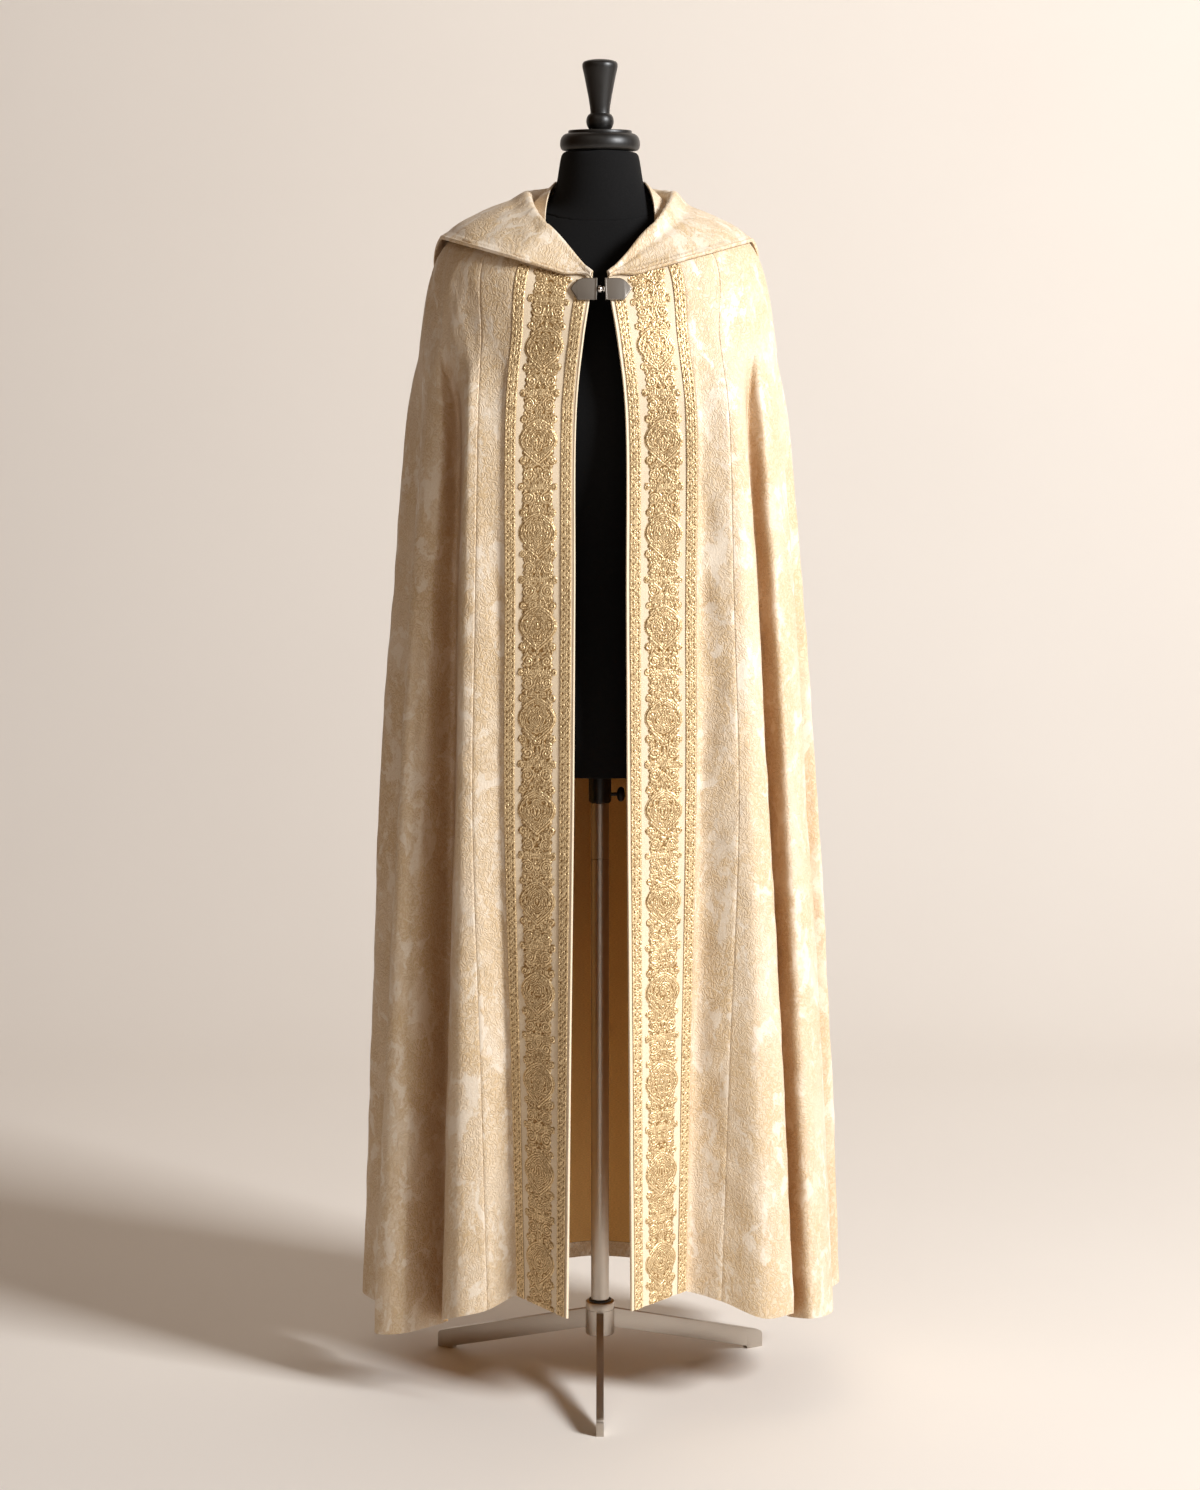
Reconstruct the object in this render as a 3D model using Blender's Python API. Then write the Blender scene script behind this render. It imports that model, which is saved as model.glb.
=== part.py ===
"""Cope vestment worn by a limbless dress form on a tripod stand.

Metres.  X runs to the wearer's left hand seen from the front (screen right), Y to the back, Z up.
While the pieces are worked out, the pole's axis is X = Y = 0 and the floor is Z = 0; at the end
the whole is moved so that the bottom centre of its bounding box is the origin.

The cope is one surface, ruled by LEVELS (a ring for each height) and by FOLDS (a line running
down the cloth for each crest and valley).  Every panel, band and trim is a stretch of that
surface, given its thickness along the surface's normals.
"""
import math

import bmesh
import bpy
from mathutils import Vector

MM = 0.001

# Cloth thicknesses and the gaps between neighbouring pieces
CLOTH_WALL = 2.0 * MM
ORPHREY_WALL = 2.6 * MM
LINING_WALL = 1.0 * MM
HOOD_WALL = 2.2 * MM
BRAID_RISE = 1.5 * MM
FIELD_RISE = 1.1 * MM
MOTIF_RISE = 1.3 * MM
GAP = 0.3 * MM
LAYER_GAP = 0.4 * MM

# Orphrey: the ornamented band along each front edge, measured inwards from that edge
BAND_WIDTH = 95.0 * MM
EDGE_MARGIN = 5.0 * MM
BRAID_WIDTH = 14.5 * MM
BRAID_SPACE = 4.5 * MM
FIELD_WIDTH = BAND_WIDTH - EDGE_MARGIN - 2 * (BRAID_WIDTH + BRAID_SPACE)
MOTIF_REPEAT = 122.0 * MM
MOTIF_ROWS = 8
FIELD_NOTCH = 4.0 * MM
ORNAMENT_TOP = 1.0
FIRST_MEDALLION = 98.0 * MM

# Hood, turned down over the shoulders
STAND_HEIGHT = 19.0 * MM
STAND_AT_CLASP = 5.0 * MM
ROLL_WIDTH = 7.0 * MM
ROLL_AT_CLASP = 2.4 * MM
HOOD_LIFTS = (
    # side, name,   at the edge, at the roll
    (-1,    "left",  9.5 * MM,   12.0 * MM),
    (1,     "right", 4.2 * MM,    4.6 * MM),
)
HOOD_LIFT_AT_CLASP = 2.8 * MM
HOOD_BACK_FALL = 3.2
HOOD_TURN_COLUMN = 8.8
HOOD_OPENING_COLUMN = 1.1
HOOD_SHARES = (
    # share of the way from the roll to the edge, fullness
    (0.18, 5.0 * MM),
    (0.36, 4.0 * MM),
    (0.57, 1.5 * MM),
    (0.78, 0.0),
    (1.00, 0.0),
)

# Collar inside the hood, round the sides and back of the neck.  Turns are degrees from the front.
COLLAR_WALL = 1.6 * MM
COLLAR_INSET = 3.4 * MM
COLLAR_LIFT = 5.0 * MM
COLLAR_STEPS = 12
COLLAR_FRONT_FOOT = 54.0
COLLAR_FRONT_TOP = 86.0
COLLAR_HALF_WIDTH = 60.5 * MM
COLLAR_DEPTH = 60.5 * MM
COLLAR_TOP = 1.6480
COLLAR_RISE_BACK = 4.0 * MM

# Lining and the band that faces the hem inside the back
LINING_TOP = 4.0
HEM_BAND = 23.0 * MM

# Dress form and stand
RING_SIDES = 20
FINIAL_SIDES = 18
FORM_BASE = 0.857
POLE_RADIUS = 12.5 * MM
POLE_TOP = 1.090
BORE_RADIUS = 14.0 * MM
BORE_TOP = 1.140
HUB_RADIUS = 20.0 * MM
HUB_BOTTOM = 0.0595
HUB_FLOOR = 0.0655
HUB_TOP = 0.1065
POLE_GROOVE = 0.7320
LEG_LENGTH = 0.2664
LEG_THICKNESS = 10.0 * MM
BRACKET_RADIUS = 15.5 * MM
BRACKET_BOTTOM = 0.809
SCREW_HEIGHT = 0.8205
NECK_TOP = 1.6887

# Clasp: two plates joined by a link at the top of the front edges
CLASP_HEIGHT = 1.5055
CLASP_CENTRE = 1.4 * MM
CLASP_DEPTH = -0.1333
CLASP_PITCH = math.radians(-18.0)
CLASP_YAW = math.radians(5.7)
PLATE_LENGTH = 35.0 * MM
PLATE_HEIGHT = 29.5 * MM
PLATE_THICKNESS = 2.6 * MM
PLATE_SPACING = 10.1 * MM

# The cope's levels, from neckline to hem.  Front and back are depths from the pole's axis.
# Where turned is 1, a column's place on the ring comes from its turn; below, from FOLDS.
LEVELS = (
    # name,     z_front, z_side, z_back, half_left, half_right, front,  back,  dip, steps
    ("neck",    1.5150,  1.6150, 1.6260, 0.0930,    0.0930,     0.1250, 0.085, 0.6, 3),
    ("yoke",    1.5100,  1.5660, 1.5600, 0.2055,    0.2008,     0.1275, 0.116, 1.0, 3),
    ("armhole", 1.4400,  1.4380, 1.4500, 0.2412,    0.2352,     0.1480, 0.146, 1.0, 2),
    ("chest",   1.3500,  1.3500, 1.3500, 0.2585,    0.2520,     0.1570, 0.170, 1.0, 2),
    ("waist",   1.1000,  1.1000, 1.1000, 0.2830,    0.2800,     0.1660, 0.196, 1.0, 2),
    ("hip",     0.8200,  0.8200, 0.8200, 0.3050,    0.3020,     0.1740, 0.225, 1.0, 3),
    ("knee",    0.4600,  0.4500, 0.4500, 0.3230,    0.3240,     0.1920, 0.256, 1.0, 3),
    ("hem",     0.1400,  0.0850, 0.0940, 0.3380,    0.3420,     0.2100, 0.285, 1.0, 0),
)
CHEST, HIP, HEM = 3, 5, 7
FLARE_SHARE_WAIST = 0.52
FLARE_SHARE_KNEE = 0.52

# Lines down the cloth, from the front edge to the centre back.  Turns are degrees round the
# neck and the yoke; the other places are millimetres from the pole's axis (x outwards, y back).
FOLDS_LEFT = (
    # name,        neck,  yoke, chest_x, chest_y, hip_x, hip_y, hem_x, hem_y, hem_z, steps
    ("edge",         6.5,   3.0,  30.5,  -152,  35.0, -172,  44.0, -210, 144.0, 0),
    ("band_out",    47.0,  31.0, 124.0,  -146, 127.5, -148, 112.0, -144, 156.0, 2),
    ("valley_a",    51.0,  35.0, 129.5,  -143.5, 133.0, -145, 117.5, -141, 154.0, 2),
    ("seam_a",      62.0,  47.0, 160.0,  -138, 169.5, -146, 152.0, -152, 138.0, 2),
    ("crest_3",     66.0,  52.0, 173.0,  -134, 187.0, -139, 195.0, -148, 127.0, 2),
    ("edge_3",      70.0,  58.0, 179.0,  -114, 193.0, -113, 214.0, -112, 112.0, 3),
    ("valley_b",    75.0,  65.0, 190.0,   -78, 200.0,  -60, 213.0,  -54,  92.0, 3),
    ("crest_2",     80.0,  71.0, 210.0,   -88, 240.0,  -84, 274.0,  -90,  86.0, 3),
    ("edge_2",      86.0,  81.0, 230.0,   -72, 270.0,  -76, 311.0,  -70,  81.0, 3),
    ("valley_c",    92.0,  92.0, 238.0,   -20, 263.0,    8, 292.0,   24,  81.0, 3),
    ("crest_1",    100.0, 104.0, 258.5,    30, 305.0,   58, 338.0,   90,  94.0, 3),
    ("valley_d",   112.0, 118.0, 238.0,    80, 258.0,  112, 272.0,  142,  98.0, 2),
    ("crest_b1",   124.0, 130.0, 216.0,   120, 246.0,  176, 264.0,  226,  94.0, 2),
    ("valley_e",   137.0, 143.0, 164.0,   133, 172.0,  162, 178.0,  194, 101.0, 3),
    ("crest_b2",   151.0, 156.0, 121.0,   162, 138.0,  220, 148.0,  276,  94.0, 3),
    ("valley_f",   165.0, 168.0,  61.0,   156,  68.0,  190,  74.0,  232, 100.0, 3),
    ("back",       180.0, 180.0,   0.0,   170,   0.0,  222,   0.0,  270,  95.0, 3),
)
FOLDS_RIGHT = (
    # name,        neck,  yoke, chest_x, chest_y, hip_x, hip_y, hem_x, hem_y, hem_z, steps
    ("edge",         6.5,   3.0,  32.5,  -152,  36.0, -172,  42.0, -210, 154.0, 0),
    ("band_out",    47.0,  31.0, 126.0,  -146, 127.5, -148, 116.0, -148, 164.0, 2),
    ("valley_a",    51.0,  35.0, 131.5,  -142.5, 133.5, -143, 121.5, -142, 160.0, 2),
    ("seam_a",      62.0,  48.0, 168.0,  -139, 184.0, -152, 164.0, -150, 150.0, 2),
    ("crest_4",     66.0,  53.0, 179.0,  -134, 204.0, -150, 222.0, -166, 131.0, 2),
    ("edge_4",      70.0,  58.0, 189.0,  -119, 225.0, -128, 261.0, -140, 130.0, 3),
    ("valley_b",    75.0,  65.0, 195.0,   -88, 225.0,  -74, 258.0,  -88, 110.0, 3),
    ("crest_5",     80.0,  71.0, 214.0,   -96, 252.0,  -98, 288.0, -110, 114.0, 3),
    ("edge_5",      86.0,  81.0, 236.0,   -58, 281.0,  -54, 321.0,  -54, 107.0, 3),
    ("valley_c",    92.0,  92.0, 236.0,    -2, 268.0,   50, 302.0,   60,  91.0, 3),
    ("crest_6",    100.0, 104.0, 252.0,    36, 302.0,   66, 342.0,   92, 108.0, 3),
    ("valley_d",   112.0, 118.0, 232.0,    84, 254.0,  118, 276.0,  150, 108.0, 2),
    ("crest_b1",   124.0, 130.0, 208.0,   124, 238.0,  180, 268.0,  220,  98.0, 2),
    ("valley_e",   137.0, 143.0, 158.0,   135, 168.0,  166, 186.0,  198, 104.0, 3),
    ("crest_b2",   151.0, 156.0, 113.0,   163, 128.0,  216, 152.0,  272,  94.0, 3),
    ("valley_f",   165.0, 168.0,  57.0,   157,  62.0,  192,  70.0,  238,  99.0, 3),
    ("back",       180.0, 180.0,   0.0,   170,   0.0,  222,   0.0,  270,  95.0, 3),
)
BACK_COLUMN = len(FOLDS_LEFT) - 1
LAST_COLUMN = 2 * BACK_COLUMN
SEAM_A, SEAM_B = 3, 11

# Rings of the dress form below the shoulders, from its base up
FORM_RINGS = (
    # name,      z,     half_width, front,  back
    ("base",     0.8570, 0.1480,    0.1120, 0.1180),
    ("base_top", 0.8720, 0.1560,    0.1190, 0.1260),
    ("hip",      0.9500, 0.1680,    0.1220, 0.1350),
    ("waist",    1.1100, 0.1240,    0.0930, 0.0930),
    ("rib",      1.2200, 0.1400,    0.1070, 0.0990),
    ("bust",     1.3300, 0.1600,    0.1290, 0.1060),
    ("chest",    1.4200, 0.1700,    0.1150, 0.1080),
    ("armhole",  1.4900, 0.1800,    0.0930, 0.0960),
)
# Rings over the shoulders, whose ridge lies just under the cope (fall is its place from the
# neckline, 0, to the yoke, 1), and then the neck
SHOULDER_RINGS = (
    # name,        fall, ease,   z_middle, front,  back
    ("shoulder_1", 0.82, 0.0025, 1.5250,   0.0800, 0.0860),
    ("shoulder_2", 0.60, 0.0000, 1.5480,   0.0730, 0.0800),
    ("shoulder_3", 0.34, 0.0000, 1.5720,   0.0680, 0.0740),
    ("shoulder_4", 0.08, 0.0010, 1.5930,   0.0640, 0.0680),
)
NECK_RINGS = (
    # name,      z_middle, z_side, half_width, front, back
    ("neck_base", 1.6120,  1.6250, 0.0640, 0.0600, 0.0610),
    ("neck_low",  1.6420,  1.6470, 0.0585, 0.0570, 0.0570),
    ("neck_rim",  1.6820,  1.6820, 0.0535, 0.0535, 0.0535),
    ("neck_top",  1.6887,  1.6887, 0.0500, 0.0500, 0.0500),
)
SEAT_GAP = 1.0 * MM
RIDGE_COLUMN = 8.9
RIDGE_SHARPNESS = 10

# Turned pieces, from bottom to top about their own axes
CAP_PROFILE = (
    # radius, z
    (0.0, 1.6890),
    (0.0490, 1.6890),
    (0.0525, 1.6925),
    (0.0535, 1.6985),
    (0.0520, 1.7060),
    (0.0475, 1.7105),
    (0.0425, 1.7122),
    (0.0425, 1.7152),
    (0.0405, 1.7160),
    (0.0, 1.7160),
)
FINIAL_PROFILE = (
    # radius, z
    (0.0, 1.7163),
    (0.0127, 1.7163),
    (0.0165, 1.7205),
    (0.0184, 1.7275),
    (0.0175, 1.7335),
    (0.0140, 1.7375),
    (0.0128, 1.7400),
    (0.0155, 1.7590),
    (0.0212, 1.7880),
    (0.0236, 1.7990),
    (0.0236, 1.8030),
    (0.0205, 1.8068),
    (0.0110, 1.8090),
    (0.0, 1.8097),
)
SCREW_STEM = 2.5 * MM
SCREW_HOLE = 2.8 * MM
SCREW_FLATNESS = 0.62
SCREW_PROFILE = (
    # radius, distance from the pole's axis
    (0.0, 0.0131),
    (SCREW_STEM, 0.0131),
    (SCREW_STEM, 0.0232),
    (5.7 * MM, 0.0236),
    (9.5 * MM, 0.0258),
    (10.3 * MM, 0.0288),
    (9.5 * MM, 0.0318),
    (5.7 * MM, 0.0338),
    (0.0, 0.0342),
)

COLOURS = {
    # name:        (red, green, blue, roughness, metallic)
    "brocade":     (0.80, 0.66, 0.47, 0.55, 0.0),
    "band":        (0.82, 0.66, 0.42, 0.50, 0.0),
    "gold_braid":  (0.62, 0.43, 0.19, 0.42, 0.35),
    "lining":      (0.52, 0.32, 0.13, 0.60, 0.0),
    "black_cloth": (0.008, 0.008, 0.009, 0.85, 0.0),
    "black_wood":  (0.010, 0.009, 0.008, 0.28, 0.0),
    "steel":       (0.42, 0.38, 0.33, 0.34, 1.0),
    "clasp_steel": (0.30, 0.27, 0.24, 0.30, 1.0),
    "bright_steel": (0.75, 0.73, 0.70, 0.18, 1.0),
}


def clear_scene():
    for old in list(bpy.data.objects):
        bpy.data.objects.remove(old, do_unlink=True)


def material(name):
    """The named finish, made once."""
    found = bpy.data.materials.get(name)
    if found:
        return found
    red, green, blue, roughness, metallic = COLOURS[name]
    made = bpy.data.materials.new(name)
    made.use_nodes = True
    shader = made.node_tree.nodes["Principled BSDF"]
    shader.inputs["Base Color"].default_value = (red, green, blue, 1.0)
    shader.inputs["Roughness"].default_value = roughness
    shader.inputs["Metallic"].default_value = metallic
    return made


def add_empty(name, parent=None, location=(0.0, 0.0, 0.0)):
    empty = bpy.data.objects.new(name, None)
    bpy.context.scene.collection.objects.link(empty)
    empty.parent = parent
    empty.location = location
    return empty


def add_piece(name, bm, finish, parent, sharp=math.radians(40), location=(0.0, 0.0, 0.0)):
    """One named solid from a bmesh, shaded smooth up to the sharp angle."""
    mesh = bpy.data.meshes.new(name)
    bm.to_mesh(mesh)
    bm.free()
    mesh.shade_smooth()
    mesh.set_sharp_from_angle(angle=sharp)
    mesh.materials.append(material(finish))
    piece = bpy.data.objects.new(name, mesh)
    bpy.context.scene.collection.objects.link(piece)
    piece.parent = parent
    piece.location = location
    return piece


# ---------------------------------------------------------------- curves and the cope's surface

def spline(points, where):
    """Point at a fractional index on the centripetal Catmull-Rom curve through the points."""
    last = len(points) - 1
    i = min(int(where), last - 1)
    share = where - i
    if share < 1e-9:
        return points[i].copy()
    if share > 1 - 1e-9:
        return points[i + 1].copy()
    p1, p2 = points[i], points[i + 1]
    p0 = points[i - 1] if i > 0 else 2 * p1 - p2
    p3 = points[i + 2] if i + 2 <= last else 2 * p2 - p1
    knots = [0.0]
    for a, b in ((p0, p1), (p1, p2), (p2, p3)):
        knots.append(knots[-1] + max((b - a).length, 1e-6) ** 0.5)
    k0, k1, k2, k3 = knots
    k = k1 + share * (k2 - k1)
    a1 = p0 * ((k1 - k) / (k1 - k0)) + p1 * ((k - k0) / (k1 - k0))
    a2 = p1 * ((k2 - k) / (k2 - k1)) + p2 * ((k - k1) / (k2 - k1))
    a3 = p2 * ((k3 - k) / (k3 - k2)) + p3 * ((k - k2) / (k3 - k2))
    b1 = a1 * ((k2 - k) / (k2 - k0)) + a2 * ((k - k0) / (k2 - k0))
    b2 = a2 * ((k3 - k) / (k3 - k1)) + a3 * ((k - k1) / (k3 - k1))
    return b1 * ((k2 - k) / (k2 - k1)) + b2 * ((k - k1) / (k2 - k1))


def smooth_step(x):
    x = min(max(x, 0.0), 1.0)
    return x * x * (3.0 - 2.0 * x)


def ring_point(level, turn, side):
    """Point on a level's ring, turn degrees round from the front."""
    _, z_front, z_side, z_back, half_left, half_right, front, back, dip, _ = level
    half_width = half_left if side < 0 else half_right
    angle = math.radians(turn)
    across = math.sin(angle)
    along = math.cos(angle)
    if along > 0:
        y = -front * along
        z = z_side + (z_front - z_side) * (1.0 - across) ** dip
    else:
        y = -back * along
        z = z_side + (z_back - z_side) * along * along
    return Vector((side * half_width * across, y, z))


def column_points(fold, side):
    """One line down the cloth: its point at each level, from the neckline to the hem."""
    (_, neck_turn, yoke_turn, chest_x, chest_y, hip_x, hip_y, hem_x, hem_y, hem_z, _) = fold
    chest_level, hip_level, hem_level = LEVELS[CHEST], LEVELS[HIP], LEVELS[HEM]
    chest = Vector((side * chest_x * MM, chest_y * MM, chest_level[2]))
    hip = Vector((side * hip_x * MM, hip_y * MM, hip_level[2]))
    hem = Vector((side * hem_x * MM, hem_y * MM, hem_z * MM))
    half_width = chest_level[4] if side < 0 else chest_level[5]
    depth = chest_level[6] if chest_y < 0 else chest_level[7]
    chest_turn = math.degrees(math.atan2(chest_x * MM / half_width, -chest_y * MM / depth))
    waist = chest.lerp(hip, FLARE_SHARE_WAIST)
    waist.z = LEVELS[4][2]
    knee = hip.lerp(hem, FLARE_SHARE_KNEE)
    knee.z = hip.z + (hem.z - hip.z) * 0.5
    return [
        ring_point(LEVELS[0], neck_turn, side),
        ring_point(LEVELS[1], yoke_turn, side),
        ring_point(LEVELS[2], 0.45 * yoke_turn + 0.55 * chest_turn, side),
        chest,
        waist,
        hip,
        knee,
        hem,
    ]


NET = [column_points(fold, -1) for fold in FOLDS_LEFT]
NET += [column_points(fold, 1) for fold in reversed(FOLDS_RIGHT[:-1])]
RING_CACHE = {}


def ring_at(fall):
    """Every column's point at one place down the cloth."""
    key = round(fall, 6)
    if key not in RING_CACHE:
        RING_CACHE[key] = [spline(column, fall) for column in NET]
    return RING_CACHE[key]


def on_cloth(column, fall):
    """Point of the cope's outer face.  The bands along the front edges are straight across."""
    ring = ring_at(fall)
    if column <= 1.0:
        return ring[0].lerp(ring[1], column)
    if column >= LAST_COLUMN - 1:
        return ring[-2].lerp(ring[-1], column - (LAST_COLUMN - 1))
    return spline(ring, column)


def outward(column, fall):
    """Unit normal of the cope's outer face."""
    step = 0.02
    left = on_cloth(max(column - step, 0.0), fall)
    right = on_cloth(min(column + step, float(LAST_COLUMN)), fall)
    above = on_cloth(column, max(fall - step, 0.0))
    below = on_cloth(column, min(fall + step, len(LEVELS) - 1.0))
    return (right - left).cross(below - above).normalized()


def moved_out(column, fall, distance):
    return on_cloth(column, fall) + outward(column, fall) * distance


def falls(start=0.0, end=None):
    """Places down the cloth between two limits, at the steps that LEVELS gives."""
    end = len(LEVELS) - 1.0 if end is None else end
    places = [start]
    for i, level in enumerate(LEVELS[:-1]):
        for k in range(level[9]):
            place = i + k / level[9]
            if start + 0.02 < place < end - 0.02:
                places.append(place)
    return places + [end]


def columns(start, end):
    """Places across the cloth between two whole columns, at the steps that FOLDS give."""
    places = [float(start)]
    for i in range(start, end):
        if i < BACK_COLUMN:
            steps = FOLDS_LEFT[i + 1][10]
        else:
            steps = FOLDS_RIGHT[LAST_COLUMN - i][10]
        places += [i + k / steps for k in range(1, steps + 1)]
    return places


def band_column(side, inwards):
    """Column of a place on the band, a distance in from the front edge."""
    share = inwards / BAND_WIDTH
    return share if side < 0 else LAST_COLUMN - share


# ------------------------------------------------------------------------------- solids

def wall(outer, inner):
    """Closed solid between two grids of points, rows down and columns across.  The inner grid
    may have fewer columns than the outer one."""
    bm = bmesh.new()
    out = [[bm.verts.new(p) for p in row] for row in outer]
    ins = [[bm.verts.new(p) for p in row] for row in inner]
    for upper, lower in zip(out, out[1:]):
        for j in range(len(upper) - 1):
            bm.faces.new((upper[j], upper[j + 1], lower[j + 1], lower[j]))
    for upper, lower in zip(ins, ins[1:]):
        for j in range(len(upper) - 1):
            bm.faces.new((upper[j], lower[j], lower[j + 1], upper[j + 1]))
    for i in range(len(out) - 1):
        bm.faces.new((out[i][0], out[i + 1][0], ins[i + 1][0], ins[i][0]))
        bm.faces.new((out[i + 1][-1], out[i][-1], ins[i][-1], ins[i + 1][-1]))
    if len(out[0]) == len(ins[0]):
        for j in range(len(out[0]) - 1):
            bm.faces.new((out[0][j + 1], out[0][j], ins[0][j], ins[0][j + 1]))
            bm.faces.new((out[-1][j], out[-1][j + 1], ins[-1][j + 1], ins[-1][j]))
    else:
        bm.faces.new(out[0][::-1] + ins[0])
        bm.faces.new(out[-1] + ins[-1][::-1])
    bmesh.ops.triangulate(bm, faces=bm.faces[:], quad_method="SHORT_EDGE")
    return bm


def seam_shift(cols, j, fall):
    """Half a seam gap, away from the panel's neighbour, at a panel's first or last column."""
    if j == 0:
        return (on_cloth(cols[0] + 0.05, fall) - on_cloth(cols[0], fall)).normalized() * GAP / 2
    if j == len(cols) - 1:
        return (on_cloth(cols[j] - 0.05, fall) - on_cloth(cols[j], fall)).normalized() * GAP / 2
    return Vector((0.0, 0.0, 0.0))


def cloth_grids(cols, rows, outer_offset, inner_offset):
    """Two grids of points, at two distances from the cope's outer face."""
    grids = ([], [])
    for fall in rows:
        bases = [on_cloth(c, fall) + seam_shift(cols, j, fall) for j, c in enumerate(cols)]
        normals = [outward(c, fall) for c in cols]
        for grid, offset in zip(grids, (outer_offset, inner_offset)):
            grid.append([b + n * offset for b, n in zip(bases, normals)])
    return grids


def turned_solid(profile, sides=RING_SIDES):
    """Solid turned about the Z axis from (radius, z) points, from bottom to top."""
    rings = []
    for radius, z in profile:
        if radius < 1e-6:
            rings.append([Vector((0.0, 0.0, z))])
            continue
        ring = []
        for k in range(sides):
            angle = math.tau * k / sides
            ring.append(Vector((radius * math.cos(angle), radius * math.sin(angle), z)))
        rings.append(ring)
    return ring_solid(rings)


def ring_solid(rings):
    """Skin a stack of rings, where a ring of one point closes the stack."""
    bm = bmesh.new()
    made = [[bm.verts.new(p) for p in ring] for ring in rings]
    for low, high in zip(made, made[1:]):
        count = max(len(low), len(high))
        for k in range(count):
            n = (k + 1) % count
            if len(low) == 1:
                bm.faces.new((low[0], high[n], high[k]))
            elif len(high) == 1:
                bm.faces.new((low[k], low[n], high[0]))
            else:
                bm.faces.new((low[k], low[n], high[n], high[k]))
    bmesh.ops.recalc_face_normals(bm, faces=bm.faces[:])
    return bm


# ------------------------------------------------------------------------------- the cope

def add_panels(parent):
    """Front, side and back panels of each half, meeting at their seams."""
    spans = (
        ("front_left", 1, SEAM_A),
        ("side_left", SEAM_A, SEAM_B),
        ("back_left", SEAM_B, BACK_COLUMN),
        ("back_right", BACK_COLUMN, LAST_COLUMN - SEAM_B),
        ("side_right", LAST_COLUMN - SEAM_B, LAST_COLUMN - SEAM_A),
        ("front_right", LAST_COLUMN - SEAM_A, LAST_COLUMN - 1),
    )
    for name, start, end in spans:
        outer, inner = cloth_grids(columns(start, end), falls(), 0.0, -CLOTH_WALL)
        add_piece(name, wall(outer, inner), "brocade", parent)


def band_places():
    """Distances in from the front edge of the lines that run down the band."""
    inner_braid = EDGE_MARGIN + BRAID_WIDTH
    field = inner_braid + BRAID_SPACE
    field_lines = [field + FIELD_WIDTH * k / 4 for k in range(5)]
    outer_braid = field_lines[-1] + BRAID_SPACE
    return [0.0, EDGE_MARGIN, inner_braid] + field_lines + [outer_braid, BAND_WIDTH]


def band_columns(side, places):
    found = [band_column(side, place) for place in places]
    return found if side < 0 else found[::-1]


def add_band(side, tag, parent):
    """The interlined ground of one orphrey, from the front edge to the front panel."""
    cols = band_columns(side, band_places())
    outer, inner = cloth_grids(cols, falls(), 0.0, -ORPHREY_WALL)
    add_piece("orphrey_" + tag, wall(outer, inner), "band", parent)


def add_braid(side, tag, start, parent):
    """A crowned braid, laid on the band from its own points."""
    rows = falls(ORNAMENT_TOP)
    cols = band_columns(side, (start, start + BRAID_WIDTH / 2, start + BRAID_WIDTH))
    rises = (0.6 * BRAID_RISE, BRAID_RISE, 0.6 * BRAID_RISE)
    outer = []
    inner = []
    for fall in rows:
        outer.append([moved_out(c, fall, LAYER_GAP + rise) for c, rise in zip(cols, rises)])
        inner.append([moved_out(c, fall, LAYER_GAP) for c in cols])
    add_piece("braid_" + tag, wall(outer, inner), "gold_braid", parent)


def band_length_table(side):
    """Lengths down the middle of the band, one for each fall place."""
    rows = falls(ORNAMENT_TOP)
    middle = band_column(side, BAND_WIDTH / 2)
    points = [on_cloth(middle, fall) for fall in rows]
    lengths = [0.0]
    for a, b in zip(points, points[1:]):
        lengths.append(lengths[-1] + (b - a).length)
    return rows, lengths


def fall_at_length(rows, lengths, length):
    for i in range(len(rows) - 1):
        if length <= lengths[i + 1] or i == len(rows) - 2:
            share = (length - lengths[i]) / (lengths[i + 1] - lengths[i])
            return rows[i] + share * (rows[i + 1] - rows[i])
    return rows[-1]


def faceted(column, fall, rows, distance):
    """Point over the band's own flat facets, between its rows."""
    for low, high in zip(rows, rows[1:]):
        if fall <= high + 1e-9:
            share = (fall - low) / (high - low)
            start = moved_out(column, low, distance)
            return start.lerp(moved_out(column, high, distance), share)
    return moved_out(column, rows[-1], distance)


def field_half_width(along):
    """Half the embroidered field's width: full at medallions and crossbars, notched between."""
    notch = math.sin(math.tau * along / MOTIF_REPEAT) ** 2
    return FIELD_WIDTH / 2 - FIELD_NOTCH * notch


def field_rise(across, along):
    """Height of the embroidery: a domed medallion, and a ridge at each crossbar."""
    phase = (along / MOTIF_REPEAT + 0.5) % 1.0 - 0.5
    from_middle = math.hypot(across / (FIELD_WIDTH / 2), phase * MOTIF_REPEAT / (27.0 * MM))
    medallion = max(0.0, 1.0 - from_middle ** 4)
    crossbar = max(0.0, 1.0 - abs(abs(phase) - 0.5) * MOTIF_REPEAT / (12.0 * MM))
    return FIELD_RISE + MOTIF_RISE * max(medallion, crossbar)


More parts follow.
